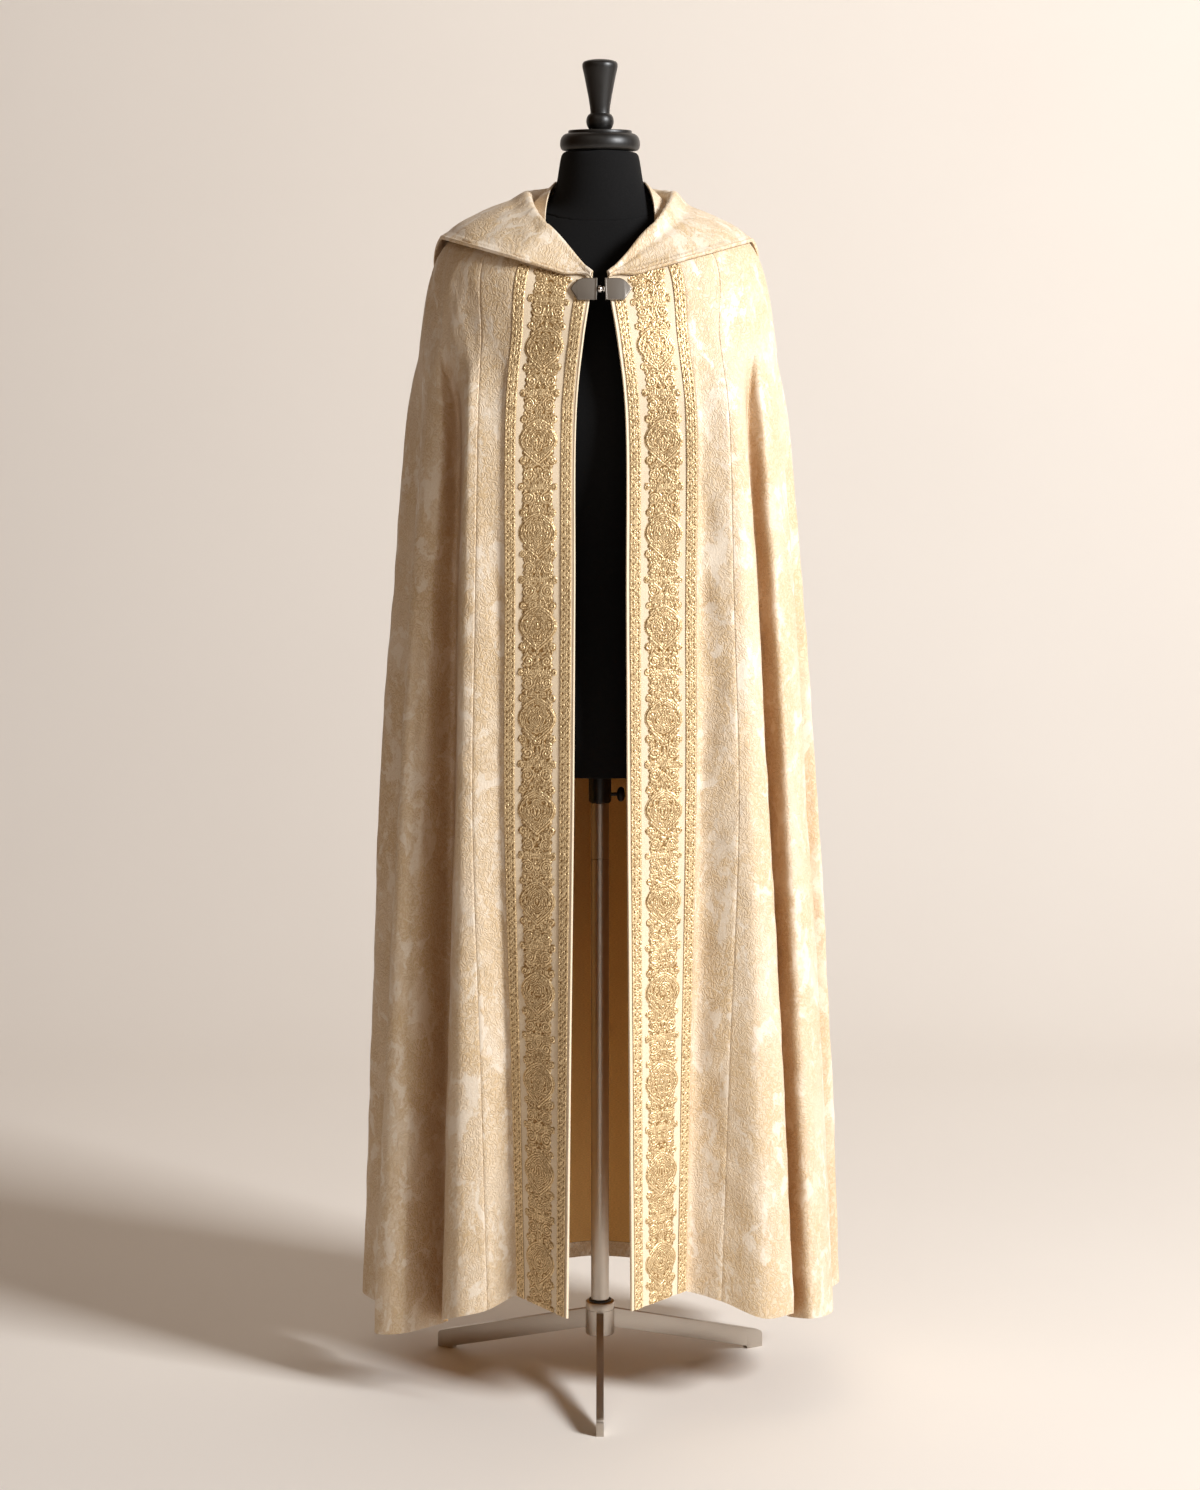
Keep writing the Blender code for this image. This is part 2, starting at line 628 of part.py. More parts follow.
def add_field(side, tag, parent):
    """The embroidered field: raised medallions in its outer points, plain underneath."""
    rows, lengths = band_length_table(side)
    middle = EDGE_MARGIN + BRAID_WIDTH + BRAID_SPACE + FIELD_WIDTH / 2
    pitch = MOTIF_REPEAT / MOTIF_ROWS
    count = int(lengths[-1] / pitch)
    shares = (-1.0, -0.6, 0.0, 0.6, 1.0)
    outer = []
    inner = []
    for k in range(count + 1):
        length = min(k * pitch, lengths[-1])
        fall = fall_at_length(rows, lengths, length)
        along = length - FIRST_MEDALLION
        half = field_half_width(along)
        out_row = []
        in_row = []
        for share in shares:
            column = band_column(side, middle + share * half)
            rise = field_rise(share * half, along) if abs(share) < 1 else 0.5 * MM
            out_row.append(faceted(column, fall, rows, LAYER_GAP + rise))
            if share in (-1.0, 0.0, 1.0):
                in_row.append(faceted(column, fall, rows, LAYER_GAP))
        outer.append(out_row if side < 0 else out_row[::-1])
        inner.append(in_row if side < 0 else in_row[::-1])
    add_piece("embroidery_" + tag, wall(outer, inner), "gold_braid", parent, math.radians(60))


def add_orphreys(parent):
    far_braid = BAND_WIDTH - BRAID_WIDTH
    for side, tag in ((-1, "left"), (1, "right")):
        add_band(side, tag, parent)
        add_braid(side, "inner_" + tag, EDGE_MARGIN, parent)
        add_braid(side, "outer_" + tag, far_braid - GAP, parent)
        add_field(side, tag, parent)


def add_lining(parent):
    """Lining inside the back panels, and the band of brocade turned up inside their hem."""
    start, end = SEAM_B, LAST_COLUMN - SEAM_B
    cols = columns(start, end)
    last = len(LEVELS) - 1.0
    hem_length = (on_cloth(BACK_COLUMN, last) - on_cloth(BACK_COLUMN, last - 1)).length
    band_top = last - HEM_BAND / hem_length
    near = -CLOTH_WALL - LAYER_GAP
    far = near - LINING_WALL
    outer, inner = cloth_grids(cols, falls(LINING_TOP, band_top - 0.002), near, far)
    add_piece("lining_back", wall(outer, inner), "lining", parent)
    outer, inner = cloth_grids(cols, [band_top, last], near, far)
    add_piece("hem_facing_back", wall(outer, inner), "brocade", parent)


# ------------------------------------------------------------------------------- the hood

def hood_edge_fall(column):
    """How far down the cloth the hood's edge lies, for a column of one half."""
    near_clasp = 0.35 + 0.65 * smooth_step(column / 0.4)
    behind = max(0.0, (column - HOOD_TURN_COLUMN) / (BACK_COLUMN - HOOD_TURN_COLUMN))
    swept = behind ** 1.3
    rounded = 0.5 * swept + 0.5 * math.sin(swept * math.pi / 2)
    return near_clasp + (HOOD_BACK_FALL - 1.0) * rounded


def hood_column(column, side, lift_edge, lift_roll):
    """Outer and inner points of the hood's wall along one column, from inside the neck over
    the roll and down to the hood's edge."""
    half = column
    column = column if side < 0 else LAST_COLUMN - column
    base = on_cloth(column, 0.0)
    away = outward(column, 0.0)
    flat = Vector((away.x, away.y, 0.0)).normalized()
    up = Vector((0.0, 0.0, 1.0))
    opening = smooth_step(half / HOOD_OPENING_COLUMN)
    stand = STAND_AT_CLASP + (STAND_HEIGHT - STAND_AT_CLASP) * opening
    roll = ROLL_AT_CLASP + (ROLL_WIDTH - ROLL_AT_CLASP) * opening
    edge = hood_edge_fall(half)
    lift_low = HOOD_LIFT_AT_CLASP + (lift_edge - HOOD_LIFT_AT_CLASP) * opening
    lift_high = HOOD_LIFT_AT_CLASP + (lift_roll - HOOD_LIFT_AT_CLASP) * opening
    outer = [
        base + up * GAP,
        base + up * (0.35 * stand) - flat * (0.04 * stand),
        base + up * (0.75 * stand) - flat * (0.04 * stand),
        base + up * (0.97 * stand) + flat * (0.35 * roll),
        base + up * stand + flat * roll,
    ]
    for share, fullness in HOOD_SHARES:
        lift = lift_high + (lift_low - lift_high) * smooth_step(share * 1.15)
        outer.append(moved_out(column, edge * share, lift + fullness * opening))
    return outer


def add_hood(parent):
    """Two halves, joined at the centre back by a seam."""
    near = [0.0, 0.15, 0.35, 0.6, 1.0, 2.0, 3.0, 4.0, 5.0, 6.0, 7.0]
    far = [7.5 + 0.5 * k for k in range(7)] + [11.5 + 0.75 * k for k in range(6)]
    places = near + far + [float(BACK_COLUMN)]
    for side, tag, lift_edge, lift_roll in HOOD_LIFTS:
        lines = [hood_column(place, side, lift_edge, lift_roll) for place in places]
        lines[-1] = [p + Vector((side * GAP / 2, 0.0, 0.0)) for p in lines[-1]]
        grid = [list(row) for row in zip(*lines)]
        if side > 0:
            grid = [row[::-1] for row in grid]
        outer = offset_grid(grid, HOOD_WALL)
        back = -1 if side < 0 else 0
        for row in outer:
            row[back].x = side * GAP / 2
        add_piece("hood_" + tag, wall(outer, grid), "brocade", parent)


def add_collar(parent):
    """Collar that leans from the neckline up to the neck, and is open in front."""
    outer = []
    for share in (1.0, 0.5, 0.0):
        start = COLLAR_FRONT_FOOT + (COLLAR_FRONT_TOP - COLLAR_FRONT_FOOT) * share
        row = []
        for k in range(COLLAR_STEPS + 1):
            round_neck = start + (360.0 - 2 * start) * k / COLLAR_STEPS
            side = -1 if round_neck <= 180.0 else 1
            turn = min(round_neck, 360.0 - round_neck)
            across, along = math.sin(math.radians(turn)), math.cos(math.radians(turn))
            foot = ring_point(LEVELS[0], turn, side)
            foot -= Vector((foot.x, foot.y, 0.0)).normalized() * COLLAR_INSET
            foot.z += COLLAR_LIFT
            top_z = COLLAR_TOP + COLLAR_RISE_BACK * max(0.0, -along)
            top = Vector((side * COLLAR_HALF_WIDTH * across, -COLLAR_DEPTH * along, top_z))
            row.append(foot.lerp(top, share))
        outer.append(row)
    add_piece("collar", wall(outer, offset_grid(outer, -COLLAR_WALL)), "brocade", parent)


def offset_grid(grid, distance):
    """The same grid, moved along its own normals, rows down and columns across."""
    rows, cols = len(grid), len(grid[0])
    moved = []
    for i in range(rows):
        line = []
        for j in range(cols):
            right = grid[i][min(j + 1, cols - 1)] - grid[i][max(j - 1, 0)]
            down = grid[min(i + 1, rows - 1)][j] - grid[max(i - 1, 0)][j]
            line.append(grid[i][j] + right.cross(down).normalized() * distance)
        moved.append(line)
    return moved


# ------------------------------------------------------------------------------- the clasp

def plate_outline(side):
    """A plate's (across, up) outline: square inner end, point outwards, a curved upper shoulder
    and a straight slant below."""
    half = PLATE_HEIGHT / 2
    outline = (
        (0.00, -1.00),
        (0.72, -1.00),
        (1.00, 0.00),
        (0.90, 0.40),
        (0.75, 0.80),
        (0.56, 1.00),
        (0.00, 1.00),
    )
    return [(side * x * PLATE_LENGTH, z * half) for x, z in outline]


def add_clasp(parent):
    """Two steel plates on the bands, and the link that holds them together."""
    inner_end = PLATE_SPACING / 2
    for side, tag in ((-1, "left"), (1, "right")):
        bm = bmesh.new()
        front = [bm.verts.new((x, -PLATE_THICKNESS, z)) for x, z in plate_outline(side)]
        face = bm.faces.new(front)
        made = bmesh.ops.extrude_face_region(bm, geom=[face])
        moved = [v for v in made["geom"] if isinstance(v, bmesh.types.BMVert)]
        bmesh.ops.translate(bm, verts=moved, vec=(0.0, PLATE_THICKNESS, 0.0))
        bmesh.ops.recalc_face_normals(bm, faces=bm.faces[:])
        plate = add_piece("clasp_plate_" + tag, bm, "clasp_steel", parent, math.radians(30))
        plate.location = (CLASP_CENTRE + side * inner_end, CLASP_DEPTH, CLASP_HEIGHT)
        plate.rotation_euler = (CLASP_PITCH, 0.0, side * CLASP_YAW)
        bevel = plate.modifiers.new("soft_edges", "BEVEL")
        bevel.width = 0.8 * MM
        bevel.segments = 1
    end = inner_end - GAP
    barrel = (
        (0.0, -end),
        (2.6 * MM, -end),
        (4.7 * MM, -3.4 * MM),
        (5.3 * MM, -1.0 * MM),
        (3.4 * MM, 2.0 * MM),
        (4.6 * MM, 3.4 * MM),
        (4.0 * MM, end),
        (0.0, end),
    )
    link = add_piece("clasp_link", turned_solid(barrel, 12), "bright_steel", parent)
    link.location = (CLASP_CENTRE, CLASP_DEPTH - PLATE_THICKNESS / 2, CLASP_HEIGHT)
    link.rotation_euler = (0.0, math.pi / 2, 0.0)


# ------------------------------------------------------------------------------- the dress form

def form_ring(z_middle, z_side, half_width, front, back):
    """Ring of the form: an oval, higher or lower at its sides than in its middle."""
    ring = []
    for k in range(RING_SIDES):
        angle = math.tau * k / RING_SIDES
        across = math.cos(angle)
        along = math.sin(angle)
        depth = back if along > 0 else front
        z = z_middle + (z_side - z_middle) * across ** RIDGE_SHARPNESS
        ring.append(Vector((half_width * across, depth * along, z)))
    return ring


def shoulder_seat(fall, ease):
    """Half width and height of the form's ridge, just under the cope that rests on it."""
    seat = moved_out(LAST_COLUMN - RIDGE_COLUMN, fall, -CLOTH_WALL - SEAT_GAP - ease)
    return seat.x, seat.z


def add_form(parent):
    """Torso with a bore for the pole, neck cap and finial."""
    rings = []
    bore_low = []
    for k in range(RING_SIDES):
        angle = math.tau * k / RING_SIDES
        x, y = BORE_RADIUS * math.cos(angle), BORE_RADIUS * math.sin(angle)
        bore_low.append(Vector((x, y, FORM_BASE)))
    bore_high = [Vector((p.x, p.y, BORE_TOP)) for p in bore_low]
    rings.append([Vector((0.0, 0.0, BORE_TOP))])
    rings.append(bore_high)
    rings.append(bore_low)
    for _, z, half_width, front, back in FORM_RINGS:
        rings.append(form_ring(z, z, half_width, front, back))
    for _, fall, ease, z_middle, front, back in SHOULDER_RINGS:
        half_width, z_side = shoulder_seat(fall, ease)
        rings.append(form_ring(z_middle, z_side, half_width, front, back))
    for _, z_middle, z_side, half_width, front, back in NECK_RINGS:
        rings.append(form_ring(z_middle, z_side, half_width, front, back))
    rings.append([Vector((0.0, 0.0, NECK_TOP))])
    add_piece("form_torso", ring_solid(rings), "black_cloth", parent)
    add_piece("neck_cap", turned_solid(CAP_PROFILE), "black_wood", parent)
    add_piece("finial", turned_solid(FINIAL_PROFILE, FINIAL_SIDES), "black_wood", parent)


# ------------------------------------------------------------------------------- the stand

def add_bracket(form, screw_parent):
    """Clamp under the form that slides on the pole, and its thumbscrew."""
    bore = POLE_RADIUS + GAP
    top = FORM_BASE - GAP
    profile = (
        (bore, BRACKET_BOTTOM),
        (BRACKET_RADIUS, BRACKET_BOTTOM),
        (BRACKET_RADIUS, top),
        (bore, top),
    )
    bracket = add_piece("bracket", tube_solid(profile), "black_wood", form)
    start, end = POLE_RADIUS / 2, 2 * BRACKET_RADIUS
    drill = ((0.0, start), (SCREW_HOLE, start), (SCREW_HOLE, end), (0.0, end))
    cutter = add_piece("screw_hole_cutter", turned_solid(drill, 12), "black_wood", form)
    cutter.location = (0.0, 0.0, SCREW_HEIGHT)
    cutter.rotation_euler = (0.0, math.pi / 2, 0.0)
    cutter.hide_render = True
    cutter.display_type = "WIRE"
    cut = bracket.modifiers.new("screw_hole", "BOOLEAN")
    cut.operation = "DIFFERENCE"
    cut.object = cutter
    bm = turned_solid(SCREW_PROFILE, 16)
    for vert in bm.verts:
        if math.hypot(vert.co.x, vert.co.y) > SCREW_STEM + GAP:
            vert.co.y *= SCREW_FLATNESS
    screw = add_piece("thumbscrew", bm, "black_wood", screw_parent)
    screw.rotation_euler = (0.0, math.pi / 2, 0.0)


def tube_solid(profile, sides=RING_SIDES):
    """Closed solid of revolution about Z whose (radius, z) profile is a loop off the axis."""
    bm = bmesh.new()
    rings = []
    for radius, z in profile:
        ring = []
        for k in range(sides):
            angle = math.tau * k / sides
            ring.append(bm.verts.new((radius * math.cos(angle), radius * math.sin(angle), z)))
        rings.append(ring)
    for low, high in zip(rings, rings[1:] + rings[:1]):
        for k in range(sides):
            n = (k + 1) % sides
            bm.faces.new((low[k], low[n], high[n], high[k]))
    bmesh.ops.recalc_face_normals(bm, faces=bm.faces[:])
    return bm


def add_stand(parent):
    """Pole, hub, dust ring and three flat legs on edge."""
    pole = (
        (0.0, HUB_FLOOR),
        (POLE_RADIUS, HUB_FLOOR),
        (POLE_RADIUS, POLE_GROOVE - 0.8 * MM),
        (POLE_RADIUS - 0.8 * MM, POLE_GROOVE - 0.5 * MM),
        (POLE_RADIUS - 0.8 * MM, POLE_GROOVE + 0.5 * MM),
        (POLE_RADIUS, POLE_GROOVE + 0.8 * MM),
        (POLE_RADIUS, POLE_TOP),
        (0.0, POLE_TOP),
    )
    add_piece("pole", turned_solid(pole), "steel", parent)
    bore = POLE_RADIUS + GAP
    hub = (
        (0.0, HUB_BOTTOM),
        (HUB_RADIUS - 1.5 * MM, HUB_BOTTOM),
        (HUB_RADIUS, HUB_BOTTOM + 1.5 * MM),
        (HUB_RADIUS, HUB_TOP - 1.0 * MM),
        (HUB_RADIUS - 1.0 * MM, HUB_TOP),
        (bore, HUB_TOP),
        (bore, HUB_FLOOR - GAP),
        (0.0, HUB_FLOOR - GAP),
    )
    add_piece("hub", turned_solid(hub), "steel", parent)
    ring = (
        (bore, HUB_TOP + GAP),
        (BRACKET_RADIUS, HUB_TOP + GAP),
        (BRACKET_RADIUS, HUB_TOP + 2.0 * MM),
        (BRACKET_RADIUS - 1.0 * MM, HUB_TOP + 3.0 * MM),
        (bore, HUB_TOP + 3.0 * MM),
    )
    add_piece("pole_ring", tube_solid(ring), "black_wood", parent)
    root = HUB_RADIUS + GAP
    outline = (
        (root, 0.0665),
        (root, 0.0935),
        (0.2480, 0.0285),
        (0.2600, 0.0230),
        (0.2650, 0.0165),
        (LEG_LENGTH, 0.0080),
        (LEG_LENGTH, 0.0),
        (0.2430, 0.0),
        (0.2400, 0.0045),
    )
    for tag, heading in (("front", -90.0), ("left", 150.0), ("right", 30.0)):
        bm = bmesh.new()
        edge = [bm.verts.new((r, -LEG_THICKNESS / 2, z)) for r, z in outline]
        face = bm.faces.new(edge)
        made = bmesh.ops.extrude_face_region(bm, geom=[face])
        moved = [v for v in made["geom"] if isinstance(v, bmesh.types.BMVert)]
        bmesh.ops.translate(bm, verts=moved, vec=(0.0, LEG_THICKNESS, 0.0))
        bmesh.ops.recalc_face_normals(bm, faces=bm.faces[:])
        leg = add_piece("leg_" + tag, bm, "steel", parent, math.radians(30))
        leg.rotation_euler = (0.0, 0.0, math.radians(heading))


# ------------------------------------------------------------------------------- assembly

def bounding_centre(pieces):
    """Middle of the box in X and Y, and its lowest Z."""
    bpy.context.view_layer.update()
    points = [piece.matrix_world @ Vector(corner) for piece in pieces for corner in piece.bound_box]
    low = [min(p[i] for p in points) for i in range(3)]
    high = [max(p[i] for p in points) for i in range(3)]
    return (low[0] + high[0]) / 2, (low[1] + high[1]) / 2, low[2]


def main():
    clear_scene()
    stand = add_empty("stand_root")
    lifted = add_empty("height_slide", stand)
    screw = add_empty("thumbscrew_axis", lifted, (0.0, 0.0, SCREW_HEIGHT))
    add_stand(stand)
    add_form(lifted)
    add_bracket(lifted, screw)
    add_panels(lifted)
    add_orphreys(lifted)
    add_lining(lifted)
    add_hood(lifted)
    add_collar(lifted)
    add_clasp(lifted)
    pieces = [o for o in bpy.data.objects if o.type == "MESH" and not o.hide_render]
    x, y, z = bounding_centre(pieces)
    stand.location = (-x, -y, -z)
    bpy.context.view_layer.update()


if __name__ == "__main__":
    main()
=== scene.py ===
"""Cope on a limbless dress form and tripod stand: the visible cloth, metal and wood around the
packed solids.  Laid out as a Blender add-on and run as a script."""

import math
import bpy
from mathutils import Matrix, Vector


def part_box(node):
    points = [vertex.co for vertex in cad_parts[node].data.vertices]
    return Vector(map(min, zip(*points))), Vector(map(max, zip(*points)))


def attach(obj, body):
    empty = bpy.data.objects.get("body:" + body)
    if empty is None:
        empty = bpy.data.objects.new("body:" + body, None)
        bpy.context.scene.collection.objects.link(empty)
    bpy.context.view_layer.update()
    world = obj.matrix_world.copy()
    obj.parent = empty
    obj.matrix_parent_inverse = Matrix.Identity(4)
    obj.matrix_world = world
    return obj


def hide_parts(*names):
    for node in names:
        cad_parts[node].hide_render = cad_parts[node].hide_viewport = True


bl_info = {
    "name": "Cope on a dress form",
    "version": (1, 0, 0),
    "blender": (4, 5, 0),
    "location": "3D View > Sidebar > Cope",
    "description": "Builds the cope, its dress form and its stand, with their cloths, metals and wood",
    "category": "Add Mesh",
}

import bpy
import numpy as np
from bpy.props import FloatProperty, FloatVectorProperty, PointerProperty
from bpy.types import Operator, Panel, PropertyGroup
from mathutils import Euler, Vector

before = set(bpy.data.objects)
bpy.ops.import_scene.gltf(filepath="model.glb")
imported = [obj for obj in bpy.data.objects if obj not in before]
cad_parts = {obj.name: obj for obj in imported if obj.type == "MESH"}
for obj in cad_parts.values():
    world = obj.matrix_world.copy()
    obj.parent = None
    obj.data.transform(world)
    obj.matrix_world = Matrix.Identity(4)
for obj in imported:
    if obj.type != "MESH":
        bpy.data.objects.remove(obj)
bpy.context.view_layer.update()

MM = 0.001
POLE_LOW, POLE_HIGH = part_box("pole")
AXIS = np.array([(POLE_LOW.x + POLE_HIGH.x) / 2, (POLE_LOW.y + POLE_HIGH.y) / 2, 0.0])

# ----------------------------------------------------------------------------- the cope's shape
# Levels from neckline to hem, as in the solids.  Distances are from the pole's axis.
LEVELS = (
    # z_front, z_side, z_back, half_left, half_right, front, back, dip
    (1.5150, 1.6150, 1.6260, 0.0930, 0.0930, 0.1250, 0.085, 0.6),
    (1.5100, 1.5660, 1.5600, 0.2055, 0.2008, 0.1275, 0.116, 1.0),
    (1.4400, 1.4380, 1.4500, 0.2412, 0.2352, 0.1480, 0.146, 1.0),
    (1.3500, 1.3500, 1.3500, 0.2585, 0.2520, 0.1570, 0.170, 1.0),
    (1.1000, 1.1000, 1.1000, 0.2830, 0.2800, 0.1660, 0.196, 1.0),
    (0.8200, 0.8200, 0.8200, 0.3050, 0.3020, 0.1740, 0.225, 1.0),
    (0.4600, 0.4500, 0.4500, 0.3230, 0.3240, 0.1920, 0.256, 1.0),
    (0.1400, 0.0850, 0.0940, 0.3380, 0.3420, 0.2100, 0.285, 1.0),
)
CHEST, WAIST, HIP, HEM = 3, 4, 5, 7
FLARE_SHARE = 0.52
FOLDS_LEFT = (
    # neck, yoke, chest_x, chest_y, hip_x, hip_y, hem_x, hem_y, hem_z
    (6.5, 3.0, 30.5, -152, 35.0, -172, 44.0, -210, 144.0),
    (47.0, 31.0, 124.0, -146, 127.5, -148, 112.0, -144, 156.0),
    (51.0, 35.0, 129.5, -143.5, 133.0, -145, 117.5, -141, 154.0),
    (62.0, 47.0, 160.0, -138, 169.5, -146, 152.0, -152, 138.0),
    (66.0, 52.0, 173.0, -134, 187.0, -139, 195.0, -148, 127.0),
    (70.0, 58.0, 179.0, -114, 193.0, -113, 214.0, -112, 112.0),
    (75.0, 65.0, 190.0, -78, 200.0, -60, 213.0, -54, 92.0),
    (80.0, 71.0, 210.0, -88, 240.0, -84, 274.0, -90, 86.0),
    (86.0, 81.0, 230.0, -72, 270.0, -76, 311.0, -70, 81.0),
    (92.0, 92.0, 238.0, -20, 263.0, 8, 292.0, 24, 81.0),
    (100.0, 104.0, 258.5, 30, 305.0, 58, 338.0, 90, 94.0),
    (112.0, 118.0, 238.0, 80, 258.0, 112, 272.0, 142, 98.0),
    (124.0, 130.0, 216.0, 120, 246.0, 176, 264.0, 226, 94.0),
    (137.0, 143.0, 164.0, 133, 172.0, 162, 178.0, 194, 101.0),
    (151.0, 156.0, 121.0, 162, 138.0, 220, 148.0, 276, 94.0),
    (165.0, 168.0, 61.0, 156, 68.0, 190, 74.0, 232, 100.0),
    (180.0, 180.0, 0.0, 170, 0.0, 222, 0.0, 270, 95.0),
)
FOLDS_RIGHT = (
    # neck, yoke, chest_x, chest_y, hip_x, hip_y, hem_x, hem_y, hem_z
    (6.5, 3.0, 32.5, -152, 36.0, -172, 42.0, -210, 154.0),
    (47.0, 31.0, 126.0, -146, 127.5, -148, 116.0, -148, 164.0),
    (51.0, 35.0, 131.5, -142.5, 133.5, -143, 121.5, -142, 160.0),
    (62.0, 48.0, 168.0, -139, 184.0, -152, 164.0, -150, 150.0),
    (66.0, 53.0, 179.0, -134, 204.0, -150, 222.0, -166, 131.0),
    (70.0, 58.0, 189.0, -119, 225.0, -128, 261.0, -140, 130.0),
    (75.0, 65.0, 195.0, -88, 225.0, -74, 258.0, -88, 110.0),
    (80.0, 71.0, 214.0, -96, 252.0, -98, 288.0, -110, 114.0),
    (86.0, 81.0, 236.0, -58, 281.0, -54, 321.0, -54, 107.0),
    (92.0, 92.0, 236.0, -2, 268.0, 50, 302.0, 60, 91.0),
    (100.0, 104.0, 252.0, 36, 302.0, 66, 342.0, 92, 108.0),
    (112.0, 118.0, 232.0, 84, 254.0, 118, 276.0, 150, 108.0),
    (124.0, 130.0, 208.0, 124, 238.0, 180, 268.0, 220, 98.0),
    (137.0, 143.0, 158.0, 135, 168.0, 166, 186.0, 198, 104.0),
    (151.0, 156.0, 113.0, 163, 128.0, 216, 152.0, 272, 94.0),
    (165.0, 168.0, 57.0, 157, 62.0, 192, 70.0, 238, 99.0),
    (180.0, 180.0, 0.0, 170, 0.0, 222, 0.0, 270, 95.0),
)
BACK_COLUMN = len(FOLDS_LEFT) - 1
LAST_COLUMN = 2 * BACK_COLUMN
SEAM_A, SEAM_B = 3, 11
PANELS = (
    # name, first column, last column
    ("front_left", 1, SEAM_A),
    ("side_left", SEAM_A, SEAM_B),
    ("back_left", SEAM_B, BACK_COLUMN),
    ("back_right", BACK_COLUMN, LAST_COLUMN - SEAM_B),
    ("side_right", LAST_COLUMN - SEAM_B, LAST_COLUMN - SEAM_A),
    ("front_right", LAST_COLUMN - SEAM_A, LAST_COLUMN - 1),
)

# Cloth.  A wave's two phases grow by one over each of their lengths.
SEAM_GAP = 0.3 * MM
SEAM_TURN = 0.7 * MM
WAVES = (
    # rise, first phase's lengths across and down, second phase's, seed, only where it hangs
    (1.9 * MM, (0.060, math.inf), (math.inf, 0.42), 3, True),
    (0.9 * MM, (0.027, 0.5), (math.inf, 0.15), 5, True),
    (0.55 * MM, (0.017, math.inf), (math.inf, 0.030), 7, False),
    (0.5 * MM, (0.016, 0.030), (-0.2, 0.070), 9, True),
)
DENT_IN = 21.0 * MM
DENT_WIDTH = 15.0 * MM
DENT_DEPTH = 3.4 * MM
DENT_WANDER = 6.0 * MM
DRAG_RISE = 0.9 * MM
BAND_WIDTH = 95.0 * MM
EDGE_MARGIN = 5.0 * MM
BRAID_WIDTH = 14.5 * MM
BRAID_SPACE = 4.5 * MM
BRAID_PERIOD = 17.0 * MM
FIELD_WIDTH = BAND_WIDTH - EDGE_MARGIN - 2 * (BRAID_WIDTH + BRAID_SPACE)
MOTIF_REPEAT = 122.0 * MM
FIRST_MEDALLION = 98.0 * MM
HEM_BAND = 23.0 * MM
LINING_TOP = 4.0
LINING_WALL = 1.0 * MM
LINING_SPACE = 0.4 * MM
# Painted shade in the brocade's folds: how far ambient occlusion looks for nearby cloth, and how strongly
# it darkens and warms the colour there.
PAINTED_SHADE_REACH = 160.0 * MM
PAINTED_SHADE_STRENGTH = 0.78
FIGURES_PER_METRE = 26.0
LINING_DARK = (0.82, 0.80, 0.76)
BAND_WARM = (0.9, 0.84, 0.74)
ORPHREY_WALL = 2.6 * MM
ORPHREY_PIPING = (1.3 * MM, 0.9 * MM)
THREAD_LIFT = 0.5 * MM

# Braid
BRAID_POINTS = 25
BRAID_RELIEF = 1.2 * MM
STRAND_SWING = 3.1 * MM
STRAND_HALF = 1.0 * MM
STRAND_OFFSET = 1.05 * MM
BEAD_HALF = 1.2 * MM
CORD_PLACES = (-6.4 * MM, 6.4 * MM, -5.0 * MM, 5.0 * MM)
CORD_HALF = 0.75 * MM
CORD_TWIST = 2.6 * MM

# Embroidery, in millimetres.  A medallion's top and foot are measured from its widest.
MEDALLION_TOP = 26.0
MEDALLION_FOOT = 32.5
MEDALLION_HALF = 25.8
MEDALLION_TOP_FULLNESS = 0.62
MEDALLION_FOOT_FULLNESS = 1.1
STEM_HALF = 20.0
ECHO = 3.1
OUTLINE_REACH = 1.4
OUTLINE_CORDS = (
    # in from the outline, half width, rise
    (0.1, 1.25, 1.0),
    (3.2, 1.1, 0.9),
)
OUTLINE_GROUND = (1.5, 3.1, 0.04)
BAR_HALF = 2.2
BAR_FLARE = 1.6
BAR_REACH = 18.0
SCROLLS = (
    # across, along, radius, way it turns
    (12.6, -46.5, 9.0, 1),
    (12.8, 46.0, 8.0, -1),
    (19.6, -27.0, 4.6, 1),
    (19.6, 27.5, 4.8, -1),
    (22.0, 61.0, 4.2, 1),
)

# Hood
STAND_HEIGHT = 19.0 * MM
STAND_AT_CLASP = 5.0 * MM
ROLL_WIDTH = 7.0 * MM
ROLL_AT_CLASP = 2.4 * MM
HOOD_LIFTS = {-1: (9.5 * MM, 12.0 * MM), 1: (4.2 * MM, 4.6 * MM)}
HOOD_LIFT_AT_CLASP = 2.8 * MM
HOOD_BACK_FALL = 3.2
HOOD_TURN_COLUMN = 8.8
HOOD_OPENING_COLUMN = 1.1
HOOD_ROLLS = (
    # from the edge, half width, rise
    (2.2 * MM, 2.2 * MM, 2.4 * MM),
    (7.2 * MM, 2.5 * MM, 1.5 * MM),
)
HOOD_STAND = (
    # share of the stand's height, lean towards the neck, share of the roll
    (0.35, 0.04, 0.0),
    (0.75, 0.04, 0.0),
    (0.97, 0.0, 0.35),
    (1.00, 0.0, 1.0),
)
HOOD_SHARES = (
    # share of the way from the roll to the edge, fullness
    (0.18, 5.0 * MM),
    (0.36, 4.0 * MM),
    (0.57, 1.5 * MM),
    (0.78, 0.0),
    (1.00, 0.0),
)

# Collar
COLLAR_INSET = 3.4 * MM
COLLAR_WALL = 1.6 * MM
COLLAR_LIFT = 5.0 * MM
COLLAR_FRONT_FOOT = 54.0
COLLAR_FRONT_TOP = 86.0
COLLAR_HALF_WIDTH = 60.5 * MM
COLLAR_DEPTH = 60.5 * MM
COLLAR_TOP = 1.6480
COLLAR_RISE_BACK = 4.0 * MM

